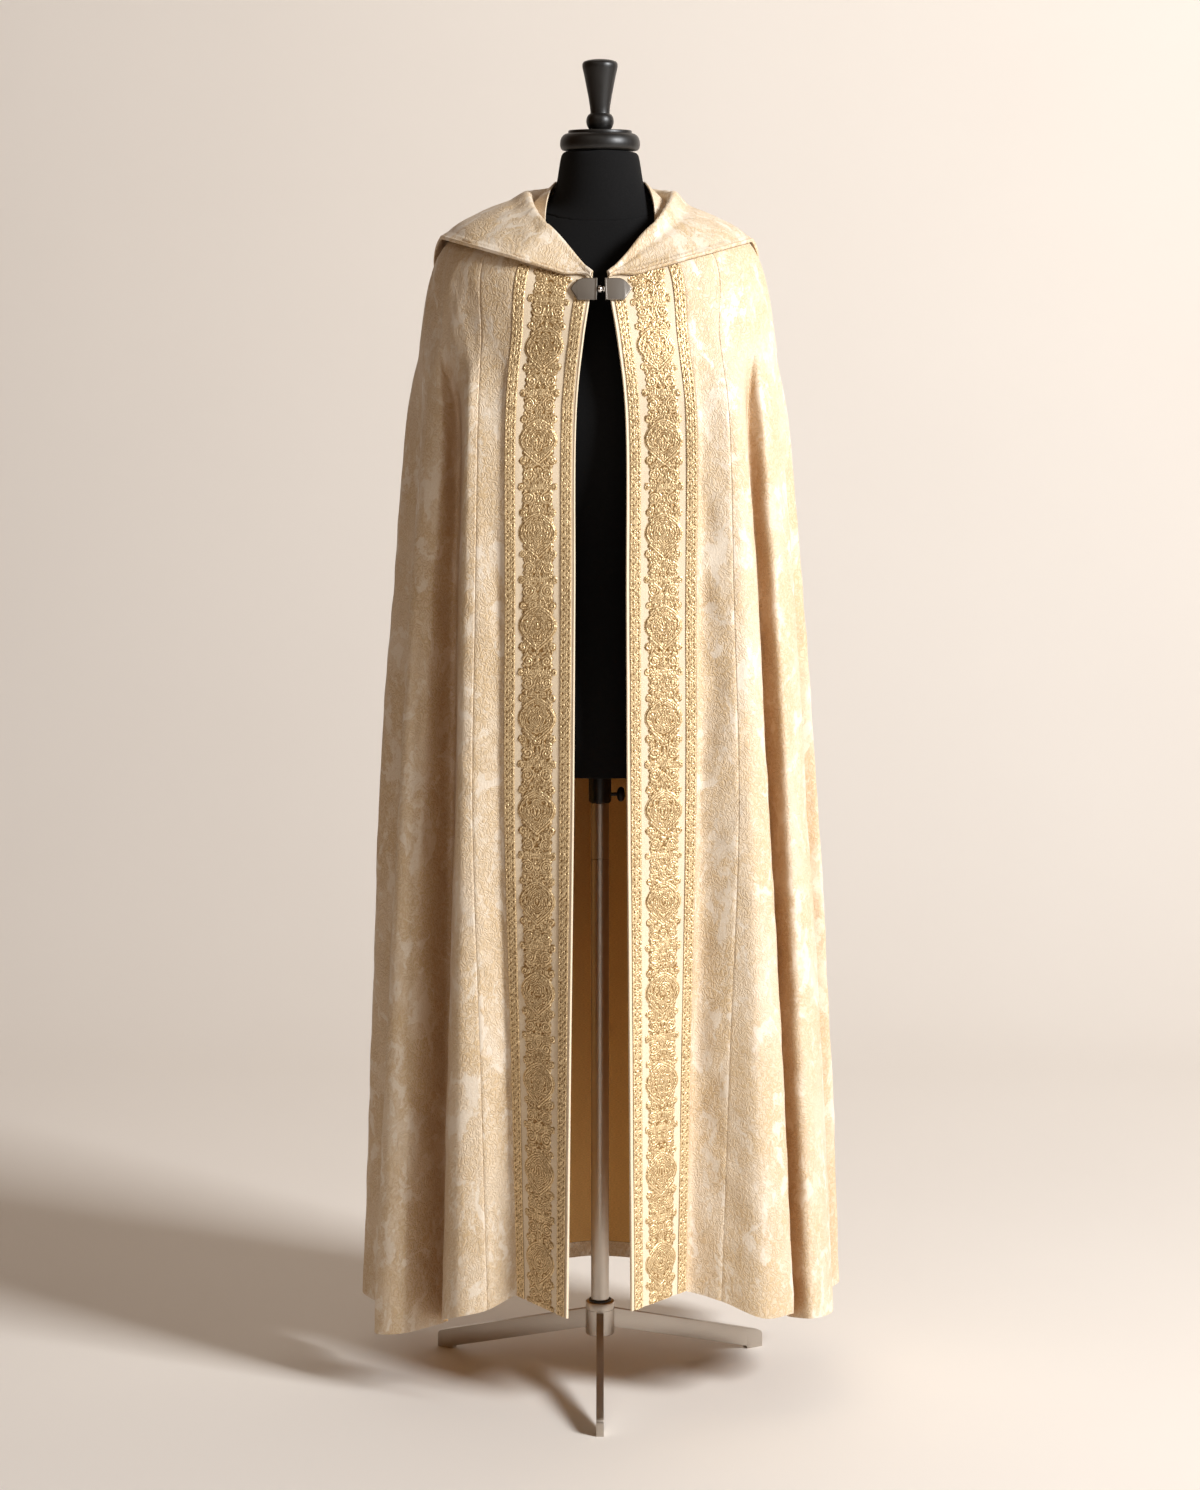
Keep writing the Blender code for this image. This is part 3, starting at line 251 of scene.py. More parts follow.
# Form and stand.  Profiles run from bottom to top.
JERSEY_BLACKS = ((0.003, 0.003, 0.0032), (0.010, 0.0098, 0.0100))
LACQUER_BLACKS = ((0.004, 0.0038, 0.0035), (0.011, 0.0095, 0.008))
ROUND_SIDES = 72
FORM_FOOT = 0.8575
NECK_SEAM_FRONT = 1.5960
NECK_SEAM_DEPTH = 0.0600
NECK_SEAM_TILT = (0.0, -0.32, 1.0)
NECK_SEAM_HALF = 1.0 * MM
NECK_SEAM_DRAW = 0.980
CAP_PROFILE = (
    # radius, z
    (0.0480, 1.6890),
    (0.0505, 1.6897),
    (0.0525, 1.6920),
    (0.0534, 1.6955),
    (0.0535, 1.6985),
    (0.0530, 1.7025),
    (0.0517, 1.7063),
    (0.0496, 1.7092),
    (0.0470, 1.7110),
    (0.0440, 1.7118),
    (0.0425, 1.7122),
    (0.0425, 1.7148),
    (0.0420, 1.7157),
    (0.0405, 1.7160),
)
FINIAL_PROFILE = (
    # radius, z
    (0.0127, 1.7163),
    (0.0150, 1.7180),
    (0.0168, 1.7210),
    (0.0181, 1.7245),
    (0.0184, 1.7275),
    (0.0182, 1.7305),
    (0.0173, 1.7337),
    (0.0157, 1.7363),
    (0.0140, 1.7375),
    (0.0130, 1.7384),
    (0.0128, 1.7400),
    (0.0136, 1.7475),
    (0.0154, 1.7590),
    (0.0182, 1.7735),
    (0.0211, 1.7880),
    (0.0231, 1.7965),
    (0.0236, 1.7995),
    (0.0236, 1.8025),
    (0.0229, 1.8047),
    (0.0212, 1.8065),
    (0.0165, 1.8080),
    (0.0100, 1.8091),
    (0.0040, 1.8096),
    (0.0006, 1.8097),
)
POLE_RADIUS = 12.5 * MM
POLE_GROOVE = 0.7320
POLE_PROFILE = (
    # radius, z
    (POLE_RADIUS - 0.6 * MM, 0.0655),
    (POLE_RADIUS, 0.0661),
    (POLE_RADIUS, POLE_GROOVE - 1.0 * MM),
    (POLE_RADIUS - 0.3 * MM, POLE_GROOVE - 0.8 * MM),
    (POLE_RADIUS - 1.1 * MM, POLE_GROOVE - 0.6 * MM),
    (POLE_RADIUS - 1.1 * MM, POLE_GROOVE + 0.6 * MM),
    (POLE_RADIUS - 0.3 * MM, POLE_GROOVE + 0.8 * MM),
    (POLE_RADIUS, POLE_GROOVE + 1.0 * MM),
    (POLE_RADIUS, 1.0892),
    (POLE_RADIUS - 0.8 * MM, 1.0900),
)
HUB_RADIUS = 20.0 * MM
HUB_TOP = 0.1065
BORE = POLE_RADIUS + 0.3 * MM
HUB_PROFILE = (
    # radius, z
    (HUB_RADIUS - 1.6 * MM, 0.0595),
    (HUB_RADIUS - 0.5 * MM, 0.0600),
    (HUB_RADIUS, 0.0612),
    (HUB_RADIUS, 0.0950),
    (HUB_RADIUS - 0.5 * MM, 0.0953),
    (HUB_RADIUS - 0.5 * MM, 0.0962),
    (HUB_RADIUS, 0.0965),
    (HUB_RADIUS, HUB_TOP - 1.2 * MM),
    (HUB_RADIUS - 0.4 * MM, HUB_TOP - 0.4 * MM),
    (HUB_RADIUS - 1.2 * MM, HUB_TOP),
    (BORE + 0.5 * MM, HUB_TOP),
    (BORE, HUB_TOP - 0.5 * MM),
    (BORE, 0.0652),
)
RING_PROFILE = (
    # radius, z
    (BORE + 0.3 * MM, HUB_TOP + 0.3 * MM),
    (15.2 * MM, HUB_TOP + 0.3 * MM),
    (15.5 * MM, HUB_TOP + 0.6 * MM),
    (15.5 * MM, HUB_TOP + 1.9 * MM),
    (15.1 * MM, HUB_TOP + 2.7 * MM),
    (14.3 * MM, HUB_TOP + 3.0 * MM),
    (BORE + 0.3 * MM, HUB_TOP + 3.0 * MM),
    (BORE, HUB_TOP + 2.7 * MM),
    (BORE, HUB_TOP + 0.6 * MM),
)
LEG_STATIONS = (
    # out from the pole, z of the lower edge, z of the upper edge
    (0.0203, 0.0665, 0.0935),
    (0.2385, 0.0049, 0.0312),
    (0.2400, 0.0045, 0.0307),
    (0.2412, 0.0004, 0.0303),
    (0.2480, 0.0000, 0.0284),
    (0.2600, 0.0000, 0.0248),
    (0.2632, 0.0000, 0.0236),
    (0.2652, 0.0000, 0.0216),
    (0.2661, 0.0000, 0.0190),
    (0.2664, 0.0004, 0.0160),
)
LEG_THICKNESS = 10.0 * MM
LEG_HEADINGS = (("front", -90.0), ("left", 150.0), ("right", 30.0))
BRACKET_PROFILE = (
    # radius, z
    (BORE, 0.8095),
    (BORE + 0.5 * MM, 0.8090),
    (12.9 * MM, 0.8091),
    (14.2 * MM, 0.8097),
    (15.1 * MM, 0.8109),
    (15.5 * MM, 0.8126),
    (15.5 * MM, 0.8565),
    (BORE, 0.8565),
)
SCREW_HEIGHT = 0.8205
DRILL_PROFILE = ((2.8 * MM, 0.0062), (2.8 * MM, 0.0310))
SCREW_FLATNESS = 0.62
SCREW_STEM = 2.5 * MM
SCREW_PROFILE = (
    # radius, distance from the pole's axis
    (2.1 * MM, 0.0131),
    (SCREW_STEM, 0.0135),
    (SCREW_STEM, 0.0230),
    (4.2 * MM, 0.0234),
    (6.6 * MM, 0.0240),
    (8.6 * MM, 0.0252),
    (9.9 * MM, 0.0269),
    (10.3 * MM, 0.0288),
    (9.9 * MM, 0.0306),
    (8.6 * MM, 0.0323),
    (6.6 * MM, 0.0334),
    (3.6 * MM, 0.0340),
    (0.6 * MM, 0.0342),
)

# Clasp
CLASP_HEIGHT = 1.5055
CLASP_CENTRE = 1.4 * MM
CLASP_DEPTH = -0.1333
CLASP_PITCH = math.radians(-18.0)
CLASP_YAW = math.radians(5.7)
PLATE_THICKNESS = 2.6 * MM
PLATE_SPACING = 10.1 * MM
PLATE_STATIONS = (
    # out from the inner end, lower edge, upper edge
    (0.0000, -0.01475, 0.01475),
    (0.0196, -0.01475, 0.01475),
    (0.0228, -0.01475, 0.01370),
    (0.0252, -0.01475, 0.01240),
    (0.0285, -0.00980, 0.00960),
    (0.0315, -0.00530, 0.00590),
    (0.0335, -0.00225, 0.00310),
    (0.0350, -0.00030, 0.00030),
)
PLATE_CHAMFER = 0.7 * MM
PLATE_FACE = (0.965, 0.92, 1.0)
FLANGE_WIDTH = 2.4 * MM
FLANGE_LENGTH = 29.2 * MM
FLANGE_HEIGHT = 3.3 * MM
BRIGHT_STEEL = (0.78, 0.76, 0.73)
STEEL_DARK = (0.8, 0.8, 0.8)
LINK_PROFILE = (
    # radius, along the link
    (2.4 * MM, -4.75 * MM),
    (4.5 * MM, -3.9 * MM),
    (4.9 * MM, -2.9 * MM),
    (5.3 * MM, -1.4 * MM),
    (5.1 * MM, -0.4 * MM),
    (4.0 * MM, 0.9 * MM),
    (3.4 * MM, 1.9 * MM),
    (3.8 * MM, 2.7 * MM),
    (4.6 * MM, 3.4 * MM),
    (4.5 * MM, 4.2 * MM),
    (3.8 * MM, 4.75 * MM),
)

# Stage
MIDDLE = (AXIS[0], AXIS[1], 0.95)
LAMPS = (
    # name, place, aim, size, colour
    ("key", (4.7, -3.3, 3.9), MIDDLE, (1.6, 1.8), (0.965, 0.98, 1.0)),
    ("fill", (-2.6, -3.6, 1.6), MIDDLE, (2.4, 2.4), (1.0, 0.84, 0.66)),
    ("top", (-1.0, -3.4, 4.6), (-0.6, -1.9, 0.0), (4.0, 3.0), (1.0, 0.93, 0.82)),
    ("backdrop", (1.2, 1.4, 3.6), (0.6, 3.4, 0.9), (4.0, 1.2), (1.0, 0.92, 0.82)),
)
GLOW_TINT = (1.0, 0.44, 0.12)
FLOOR_SIZE = (14.0, 9.0, 1.0)
FLOOR_MIDDLE = (0.0, -1.0, 0.0)
FLOOR_BACK = 3.0
FLOOR_DARK = (0.96, 0.955, 0.95)
WALL_HEIGHT = 6.0
WALL_CURVE = 1.6
LENS = 82.34
SENSOR = 36.0

# ----------------------------------------------------------------------------- curves

def smooth_step(x):
    """Eases from 0 to 1 as x runs from 0 to 1."""
    x = np.clip(x, 0.0, 1.0)
    return x * x * (3.0 - 2.0 * x)


def catmull(points, where):
    """Centripetal Catmull-Rom curves through points (n, k, 3), at fractional places (m,)."""
    last = len(points) - 1
    where = np.asarray(where, float)
    i = np.clip(np.floor(where).astype(int), 0, last - 1)
    share = (where - i)[:, None, None]
    p1, p2 = points[i], points[i + 1]
    p0 = np.where((i > 0)[:, None, None], points[np.maximum(i - 1, 0)], 2 * p1 - p2)
    p3 = np.where((i + 2 <= last)[:, None, None], points[np.minimum(i + 2, last)], 2 * p2 - p1)

    def knot(a, b):
        return np.maximum(np.linalg.norm(b - a, axis=-1, keepdims=True), 1e-6) ** 0.5

    k1 = knot(p0, p1)
    k2 = k1 + knot(p1, p2)
    k3 = k2 + knot(p2, p3)
    k = k1 + share * (k2 - k1)
    a1 = p0 * (k1 - k) / k1 + p1 * k / k1
    a2 = p1 * (k2 - k) / (k2 - k1) + p2 * (k - k1) / (k2 - k1)
    a3 = p2 * (k3 - k) / (k3 - k2) + p3 * (k - k2) / (k3 - k2)
    b1 = a1 * (k2 - k) / k2 + a2 * k / k2
    b2 = a2 * (k3 - k) / (k3 - k1) + a3 * (k - k1) / (k3 - k1)
    return b1 * (k2 - k) / (k2 - k1) + b2 * (k - k1) / (k2 - k1)


def hashed(ix, iy, seed):
    """Repeatable numbers from 0 to 1 on a lattice."""
    h = (ix * 374761393 + iy * 668265263 + seed * 362437) & 0xFFFFFFFF
    h = ((h ^ (h >> 13)) * 1274126177) & 0xFFFFFFFF
    return ((h ^ (h >> 16)) & 0xFFFF) / 65535.0


def noise(x, y, seed=0):
    """Smooth noise from -1 to 1, one feature a unit."""
    x, y = np.broadcast_arrays(np.asarray(x, float), np.asarray(y, float))
    ix, iy = np.floor(x).astype(np.int64), np.floor(y).astype(np.int64)
    fx, fy = smooth_step(x - ix), smooth_step(y - iy)
    low = hashed(ix, iy, seed) * (1 - fx) + hashed(ix + 1, iy, seed) * fx
    high = hashed(ix, iy + 1, seed) * (1 - fx) + hashed(ix + 1, iy + 1, seed) * fx
    return 2.0 * (low * (1 - fy) + high * fy) - 1.0


# ----------------------------------------------------------------------------- the cope's surface

def ring_point(level, turn, side):
    """Point of a level's ring at a turn in degrees, from 0 at the front to 180 at the back."""
    z_front, z_side, z_back, half_left, half_right, front, back, dip = level
    half_width = half_left if side < 0 else half_right
    across, along = math.sin(math.radians(turn)), math.cos(math.radians(turn))
    if along > 0:
        y = -front * along
        z = z_side + (z_front - z_side) * (1.0 - across) ** dip
    else:
        y = -back * along
        z = z_side + (z_back - z_side) * along * along
    return np.array([side * half_width * across, y, z])


def column_points(fold, side):
    """One line down the cloth: its point at each level."""
    neck_turn, yoke_turn, chest_x, chest_y, hip_x, hip_y, hem_x, hem_y, hem_z = fold
    chest_level = LEVELS[CHEST]
    chest = np.array([side * chest_x * MM, chest_y * MM, chest_level[1]])
    hip = np.array([side * hip_x * MM, hip_y * MM, LEVELS[HIP][1]])
    hem = np.array([side * hem_x * MM, hem_y * MM, hem_z * MM])
    half_width = chest_level[3] if side < 0 else chest_level[4]
    depth = chest_level[5] if chest_y < 0 else chest_level[6]
    chest_turn = math.degrees(math.atan2(chest_x * MM / half_width, -chest_y * MM / depth))
    waist = chest + (hip - chest) * FLARE_SHARE
    waist[2] = LEVELS[WAIST][1]
    knee = hip + (hem - hip) * FLARE_SHARE
    knee[2] = hip[2] + (hem[2] - hip[2]) * 0.5
    armhole_turn = 0.45 * yoke_turn + 0.55 * chest_turn
    return [
        ring_point(LEVELS[0], neck_turn, side),
        ring_point(LEVELS[1], yoke_turn, side),
        ring_point(LEVELS[2], armhole_turn, side),
        chest,
        waist,
        hip,
        knee,
        hem,
    ]


def control_net():
    """Points of every line down the cloth, one row for each level."""
    lines = [column_points(fold, -1) for fold in FOLDS_LEFT]
    lines += [column_points(fold, 1) for fold in reversed(FOLDS_RIGHT[:-1])]
    return np.array(lines).transpose(1, 0, 2) + AXIS


NET = control_net()


def cloth_points(columns, falls):
    """Points of the cope's outer face, rows down and columns across; straight across the bands."""
    columns = np.asarray(columns, float)
    rings = catmull(NET, falls)
    across = catmull(rings.transpose(1, 0, 2), columns).transpose(1, 0, 2)
    left = columns <= 1.0
    right = columns >= LAST_COLUMN - 1
    c = columns[None, :, None]
    flat_left = rings[:, :1] * (1 - c) + rings[:, 1:2] * c
    d = c - (LAST_COLUMN - 1)
    flat_right = rings[:, -2:-1] * (1 - d) + rings[:, -1:] * d
    across = np.where(left[None, :, None], flat_left, across)
    return np.where(right[None, :, None], flat_right, across)


def surface(columns, falls):
    """Points and unit outward normals of the cope's outer face."""
    columns, falls = np.asarray(columns, float), np.asarray(falls, float)
    step = 0.02
    right = cloth_points(np.minimum(columns + step, LAST_COLUMN), falls)
    left = cloth_points(np.maximum(columns - step, 0.0), falls)
    below = cloth_points(columns, np.minimum(falls + step, HEM))
    above = cloth_points(columns, np.maximum(falls - step, 0.0))
    normal = np.cross(right - left, below - above)
    normal /= np.maximum(np.linalg.norm(normal, axis=-1, keepdims=True), 1e-12)
    return cloth_points(columns, falls), normal


def fall_places(start, end, step):
    """Places down the cloth about step apart, measured down the side of the cope."""
    fine = np.linspace(0.0, HEM, 400)
    line = cloth_points([8.0], fine)[:, 0]
    length = np.concatenate([[0.0], np.cumsum(np.linalg.norm(np.diff(line, axis=0), axis=1))])
    low, high = np.interp([start, end], fine, length)
    count = max(2, int(round((high - low) / step)) + 1)
    return np.interp(np.linspace(low, high, count), length, fine)


def column_places(start, end, step, seam=True):
    """Places across the cloth about step apart at the hem, closer beside the seams."""
    found = [float(start)]
    for i in range(start, end):
        width = np.linalg.norm(NET[HEM, i + 1] - NET[HEM, i])
        count = max(3, int(math.ceil(width / step)))
        found += [i + k / count for k in range(1, count + 1)]
    found = np.array(found)
    if seam:
        near = np.array([0.02, 0.06, 0.14])
        found = np.unique(np.concatenate([found, start + near, end - near]))
    return found


def running_places():
    """Cloth lengths across the hip ring, a place for each column, and down the side."""
    across = np.linalg.norm(np.diff(NET[HIP], axis=0), axis=-1)
    fine = np.linspace(0.0, HEM, 200)
    line = cloth_points([8.0], fine)[:, 0]
    down = np.linalg.norm(np.diff(line, axis=0), axis=-1)
    return np.concatenate([[0.0], np.cumsum(across)]), fine, np.concatenate([[0.0], np.cumsum(down)])


ACROSS_RUN, DOWN_PLACES, DOWN_RUN = running_places()


def crumple(columns, falls):
    """Small height changes of the hanging cloth, in metres, none at the bands."""
    c = np.asarray(columns)[None, :]
    f = np.asarray(falls)[:, None]
    u = np.interp(c, np.arange(LAST_COLUMN + 1), ACROSS_RUN)
    v = np.interp(f, DOWN_PLACES, DOWN_RUN)
    half = np.minimum(c, LAST_COLUMN - c)
    clear_of_band = smooth_step((half - 1.0) / 0.6)
    hanging = 0.25 + 0.75 * smooth_step((f - 0.8) / 2.2)
    height = 0.0
    for rise, first, second, seed, hangs in WAVES:
        wave = rise * noise(u / first[0] + v / first[1], u / second[0] + v / second[1], seed)
        height = height + (wave * hanging if hangs else wave)
    from_band = ACROSS_RUN[-2] - u - DENT_IN - DENT_WANDER * noise(v / 0.10, 0.0, 13)
    dent = np.exp(-(from_band / DENT_WIDTH) ** 2) * (0.6 + 0.7 * noise(v / 0.055, 0.0, 17))
    low_front = smooth_step((f - 3.0) / 0.8) * smooth_step((6.9 - f) / 1.2)
    drag = noise(from_band / 0.011 + v / 0.017, v / 0.045, 19)
    on_front = smooth_step((0.075 - np.abs(from_band)) / 0.05)
    height = height + low_front * (-DENT_DEPTH * dent + DRAG_RISE * drag * on_front)
    return height * clear_of_band


def seam_dip(columns, start, end):
    """How far a panel's edges turn in along its two seams, in metres."""
    c = np.asarray(columns)[None, :]
    inside = np.minimum(c - start, end - c)
    return -SEAM_TURN * (1.0 - smooth_step(inside / 0.05))


# ----------------------------------------------------------------------------- meshes

def new_object(name, mesh):
    """Adds a finished mesh to the scene as a made piece."""
    made = bpy.data.objects.new("made_" + name, mesh)
    bpy.context.scene.collection.objects.link(made)
    return made


def wall_object(name, outer, inner, uv, materials, rim=0):
    """Closed cloth wall between two grids (rows, columns, 3); uv is a grid in metres."""
    rows, cols = outer.shape[:2]
    count = rows * cols
    ids = np.arange(count).reshape(rows, cols)
    a, b, c, d = ids[:-1, :-1], ids[:-1, 1:], ids[1:, 1:], ids[1:, :-1]
    front = np.stack([a, b, c, d], -1).reshape(-1, 4)
    back = np.stack([a, d, c, b], -1).reshape(-1, 4) + count
    edges = []
    for line in (ids[0, ::-1], ids[:, 0], ids[-1], ids[::-1, -1]):
        edges.append(np.stack([line[:-1], line[1:], line[1:] + count, line[:-1] + count], -1))
    sides = np.concatenate(edges)
    faces = np.concatenate([front, back, sides])
    mesh = bpy.data.meshes.new(name)
    points = np.concatenate([outer.reshape(-1, 3), inner.reshape(-1, 3)])
    mesh.from_pydata(points.tolist(), [], faces.tolist())
    mesh.update()
    set_uv(mesh, np.concatenate([uv.reshape(-1, 2)] * 2))
    for material in materials:
        mesh.materials.append(material)
    if len(materials) > 1:
        index = np.zeros(len(faces), int)
        index[len(front):len(front) + len(back)] = 1
        index[len(front) + len(back):] = rim
        mesh.polygons.foreach_set("material_index", index)
    mesh.shade_smooth()
    mesh.set_sharp_from_angle(angle=math.radians(60))
    return new_object(name, mesh)


def sheet_object(name, grid, uv, materials, keep=None, values=None):
    """Open skin over a grid; keep picks its corners, values are kept as the attribute relief."""
    rows, cols = grid.shape[:2]
    ids = np.arange(rows * cols).reshape(rows, cols)
    faces = np.stack([ids[:-1, :-1], ids[:-1, 1:], ids[1:, 1:], ids[1:, :-1]], -1).reshape(-1, 4)
    points, uvs = grid.reshape(-1, 3), uv.reshape(-1, 2)
    if keep is not None:
        faces = faces[keep.reshape(-1)[faces].any(axis=1)]
        used = np.unique(faces)
        place = np.zeros(rows * cols, int)
        place[used] = np.arange(len(used))
        faces, points, uvs = place[faces], points[used], uvs[used]
        values = None if values is None else values.reshape(-1)[used]
    mesh = bpy.data.meshes.new(name)
    mesh.from_pydata(points.tolist(), [], faces.tolist())
    mesh.update()
    set_uv(mesh, uvs)
    if values is not None:
        layer = mesh.attributes.new("relief", "FLOAT", "POINT")
        layer.data.foreach_set("value", np.asarray(values, float).reshape(-1))
    for material in materials:
        mesh.materials.append(material)
    mesh.shade_smooth()
    return new_object(name, mesh)


def set_uv(mesh, uv):
    """Gives each corner of a mesh the place in the weave that its vertex has, in metres."""
    layer = mesh.uv_layers.new(name="UVMap")
    index = np.zeros(len(mesh.loops), int)
    mesh.loops.foreach_get("vertex_index", index)
    layer.data.foreach_set("uv", uv[index].reshape(-1))


def flat_uv(grid):
    """Cloth lengths across and down a grid of points, from its middle column."""
    across = np.linalg.norm(np.diff(grid, axis=1), axis=-1)
    u = np.concatenate([np.zeros((len(grid), 1)), np.cumsum(across, axis=1)], axis=1)
    middle = grid.shape[1] // 2
    u = u - u[:, middle:middle + 1]
    down = np.linalg.norm(np.diff(grid[:, middle], axis=0), axis=-1)
    v = -np.concatenate([[0.0], np.cumsum(down)])
    return np.stack([u, np.broadcast_to(v[:, None], u.shape)], -1)


def fanned_uv(grid):
    """Cloth lengths for a piece that fans out: across by its middle row, and down each column."""
    middle = grid[len(grid) // 2]
    across = np.concatenate([[0.0], np.cumsum(np.linalg.norm(np.diff(middle, axis=0), axis=-1))])
    down = np.linalg.norm(np.diff(grid, axis=0), axis=-1)
    v = -np.concatenate([np.zeros((1, grid.shape[1])), np.cumsum(down, axis=0)])
    return np.stack([np.broadcast_to(across, v.shape), v], -1)


def grid_normals(grid):
    """Unit normals of a grid of points, outwards from the cloth."""
    right = np.gradient(grid, axis=1)
    down = np.gradient(grid, axis=0)
    normal = np.cross(right, down)
    return normal / np.maximum(np.linalg.norm(normal, axis=-1, keepdims=True), 1e-12)


def finish_cloth(piece, nodes):
    """Hangs a sheet of cloth on the form, with its flat cut measured from its own surface."""
    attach(piece, "form")
    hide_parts(*nodes)


# ----------------------------------------------------------------------------- materials

def once(store, name):
    """Makes the named material or node group when it is first asked for, and keeps it."""
    def wrap(make):
        def fetch():
            kept = getattr(bpy.data, store)
            return kept[name] if name in kept else make(name)
        fetch.__doc__ = make.__doc__
        return fetch
    return wrap


class Shade:
    """A node tree with short ways to add and link nodes."""

    def __init__(self, tree):
        self.tree = tree

    def add(self, kind, values=None, **settings):
        node = self.tree.nodes.new(kind)
        for key, value in settings.items():
            setattr(node, key, value)
        for key, value in (values or {}).items():
            if isinstance(value, bpy.types.NodeSocket):
                self.tree.links.new(value, node.inputs[key])
            else:
                node.inputs[key].default_value = value
        return node

    def feed(self, node, **outputs):
        """Links outputs to the inputs of a node that they are named after, with _ for a space."""
        for label, output in outputs.items():
            self.tree.links.new(output, node.inputs[label.replace("_", " ")])

    def math(self, operation, a, b=0.0, c=0.0, clamp=False):
        node = self.add("ShaderNodeMath", {0: a, 1: b, 2: c}, operation=operation, use_clamp=clamp)
        return node.outputs[0]

    def mix(self, factor, a, b):
        node = self.add("ShaderNodeMix", {0: factor, 6: a, 7: b}, data_type="RGBA")
        return node.outputs[2]

    def ramp(self, value, low, high, to_low=0.0, to_high=1.0):
        node = self.add(
            "ShaderNodeMapRange",
            {"Value": value, "From Min": low, "From Max": high, "To Min": to_low, "To Max": to_high},
            interpolation_type="SMOOTHSTEP",
        )
        return node.outputs[0]

    def noise(self, vector, scale, detail=2.0, rough=0.5, distortion=0.0):
        node = self.add(
            "ShaderNodeTexNoise",
            {"Vector": vector, "Scale": scale, "Detail": detail, "Roughness": rough,
             "Distortion": distortion},
        )
        return node.outputs["Fac"]

    def stretched(self, vector, scale, turn=0.0):
        node = self.add("ShaderNodeMapping", {"Vector": vector, "Scale": scale, "Rotation": (0, 0, turn)})
        return node.outputs[0]


def new_group(name, inputs, outputs):
    """Node group with named sockets; returns it with its input node and output node."""
    group = bpy.data.node_groups.new(name, "ShaderNodeTree")
    for label, kind, default in inputs:
        made = group.interface.new_socket(name=label, in_out="INPUT", socket_type=kind)
        if default is not None:
            made.default_value = default
    for label, kind in outputs:
        group.interface.new_socket(name=label, in_out="OUTPUT", socket_type=kind)
    shade = Shade(group)
    return group, shade, shade.add("NodeGroupInput"), shade.add("NodeGroupOutput")


@once("node_groups", "plain_weave")
def weave_group(name):
    """Fine over-and-under weave: a height, and light and dark threads."""
    group, shade, source, result = new_group(
        name,
        [("Vector", "NodeSocketVector", None), ("Pitch", "NodeSocketFloat", 1.0)],
        [("Height", "NodeSocketFloat"), ("Mask", "NodeSocketFloat")],
    )
    vector = source.outputs["Vector"]
    turns = shade.math("DIVIDE", 2 * math.pi, source.outputs["Pitch"])
    parts = shade.add("ShaderNodeSeparateXYZ", {0: vector})
    warp = shade.math("SINE", shade.math("MULTIPLY", parts.outputs[0], turns))
    weft = shade.math("SINE", shade.math("MULTIPLY", parts.outputs[1], turns))
    both = shade.math("MULTIPLY", warp, weft)
    slub = shade.noise(shade.stretched(vector, (260.0, 1600.0, 1.0)), 1.0, 1.0)
    height = shade.math("ADD", shade.math("MULTIPLY", both, 0.35), slub)
    shade.feed(result, Height=height, Mask=shade.ramp(slub, 0.35, 0.65))
    return group


@once("node_groups", "damask")
def damask_group(name):
    """Torn-edged satin figures on a duller ground, with gold weft showing through in places."""
    group, shade, source, result = new_group(
        name,
        [("Vector", "NodeSocketVector", None)],
        [("Figure", "NodeSocketFloat"), ("Gold", "NodeSocketFloat"), ("Speck", "NodeSocketFloat")],
    )
    vector = source.outputs["Vector"]
    tall = shade.stretched(vector, (1.0, 0.62, 1.0))
    drift = shade.add(
        "ShaderNodeTexNoise",
        {"Vector": tall, "Scale": FIGURES_PER_METRE, "Detail": 3.0, "Roughness": 0.6})
    moved = shade.add(
        "ShaderNodeVectorMath", {0: drift.outputs["Color"], 1: (0.5, 0.5, 0.5)}, operation="SUBTRACT")
    small = shade.add("ShaderNodeVectorMath", {0: moved.outputs[0], "Scale": 0.05}, operation="SCALE")
    warped = shade.add("ShaderNodeVectorMath", {0: tall, 1: small.outputs[0]}).outputs[0]
    cells = shade.add(
        "ShaderNodeTexVoronoi",
        {"Vector": warped, "Scale": FIGURES_PER_METRE, "Smoothness": 0.5},
        feature="SMOOTH_F1")
    rings = shade.math("SINE", shade.math("MULTIPLY", cells.outputs["Distance"], 15.0))
    petals = shade.ramp(rings, -0.2, 0.3)
    torn = shade.noise(warped, 20.0, 6.0, 0.72, 0.6)
    patch = shade.ramp(torn, 0.49, 0.57)
    figure = shade.math("MULTIPLY", patch, shade.math("MULTIPLY_ADD", petals, 0.6, 0.4))
    speck = shade.noise(vector, 260.0, 2.0, 0.7)
    worn = shade.math("MULTIPLY_ADD", speck, 0.30, shade.noise(tall, 9.0, 4.0, 0.6, 0.3))
    gold = shade.ramp(worn, 0.46, 0.72)
    shade.feed(result, Figure=figure, Gold=gold, Speck=speck)
    return group


@once("node_groups", "curling_weft")
def crinkle_group(name):
    """Curling threads of a metal weft: 1 along a thread's ridge and 0 between two threads."""
    group, shade, source, result = new_group(
        name,
        [("Vector", "NodeSocketVector", None), ("Scale", "NodeSocketFloat", 90.0),
         ("Turns", "NodeSocketFloat", 24.0)],
        [("Height", "NodeSocketFloat")],
    )
    slant = shade.stretched(source.outputs["Vector"], (1.0, 0.72, 1.0), math.radians(24))
    fine = shade.noise(slant, source.outputs["Scale"], 1.5, 0.55, 0.6)
    wave = shade.math("SINE", shade.math("MULTIPLY", fine, source.outputs["Turns"]))
    height = shade.math("MULTIPLY_ADD", wave, 0.5, 0.5)
    shade.feed(result, Height=height)
    return group


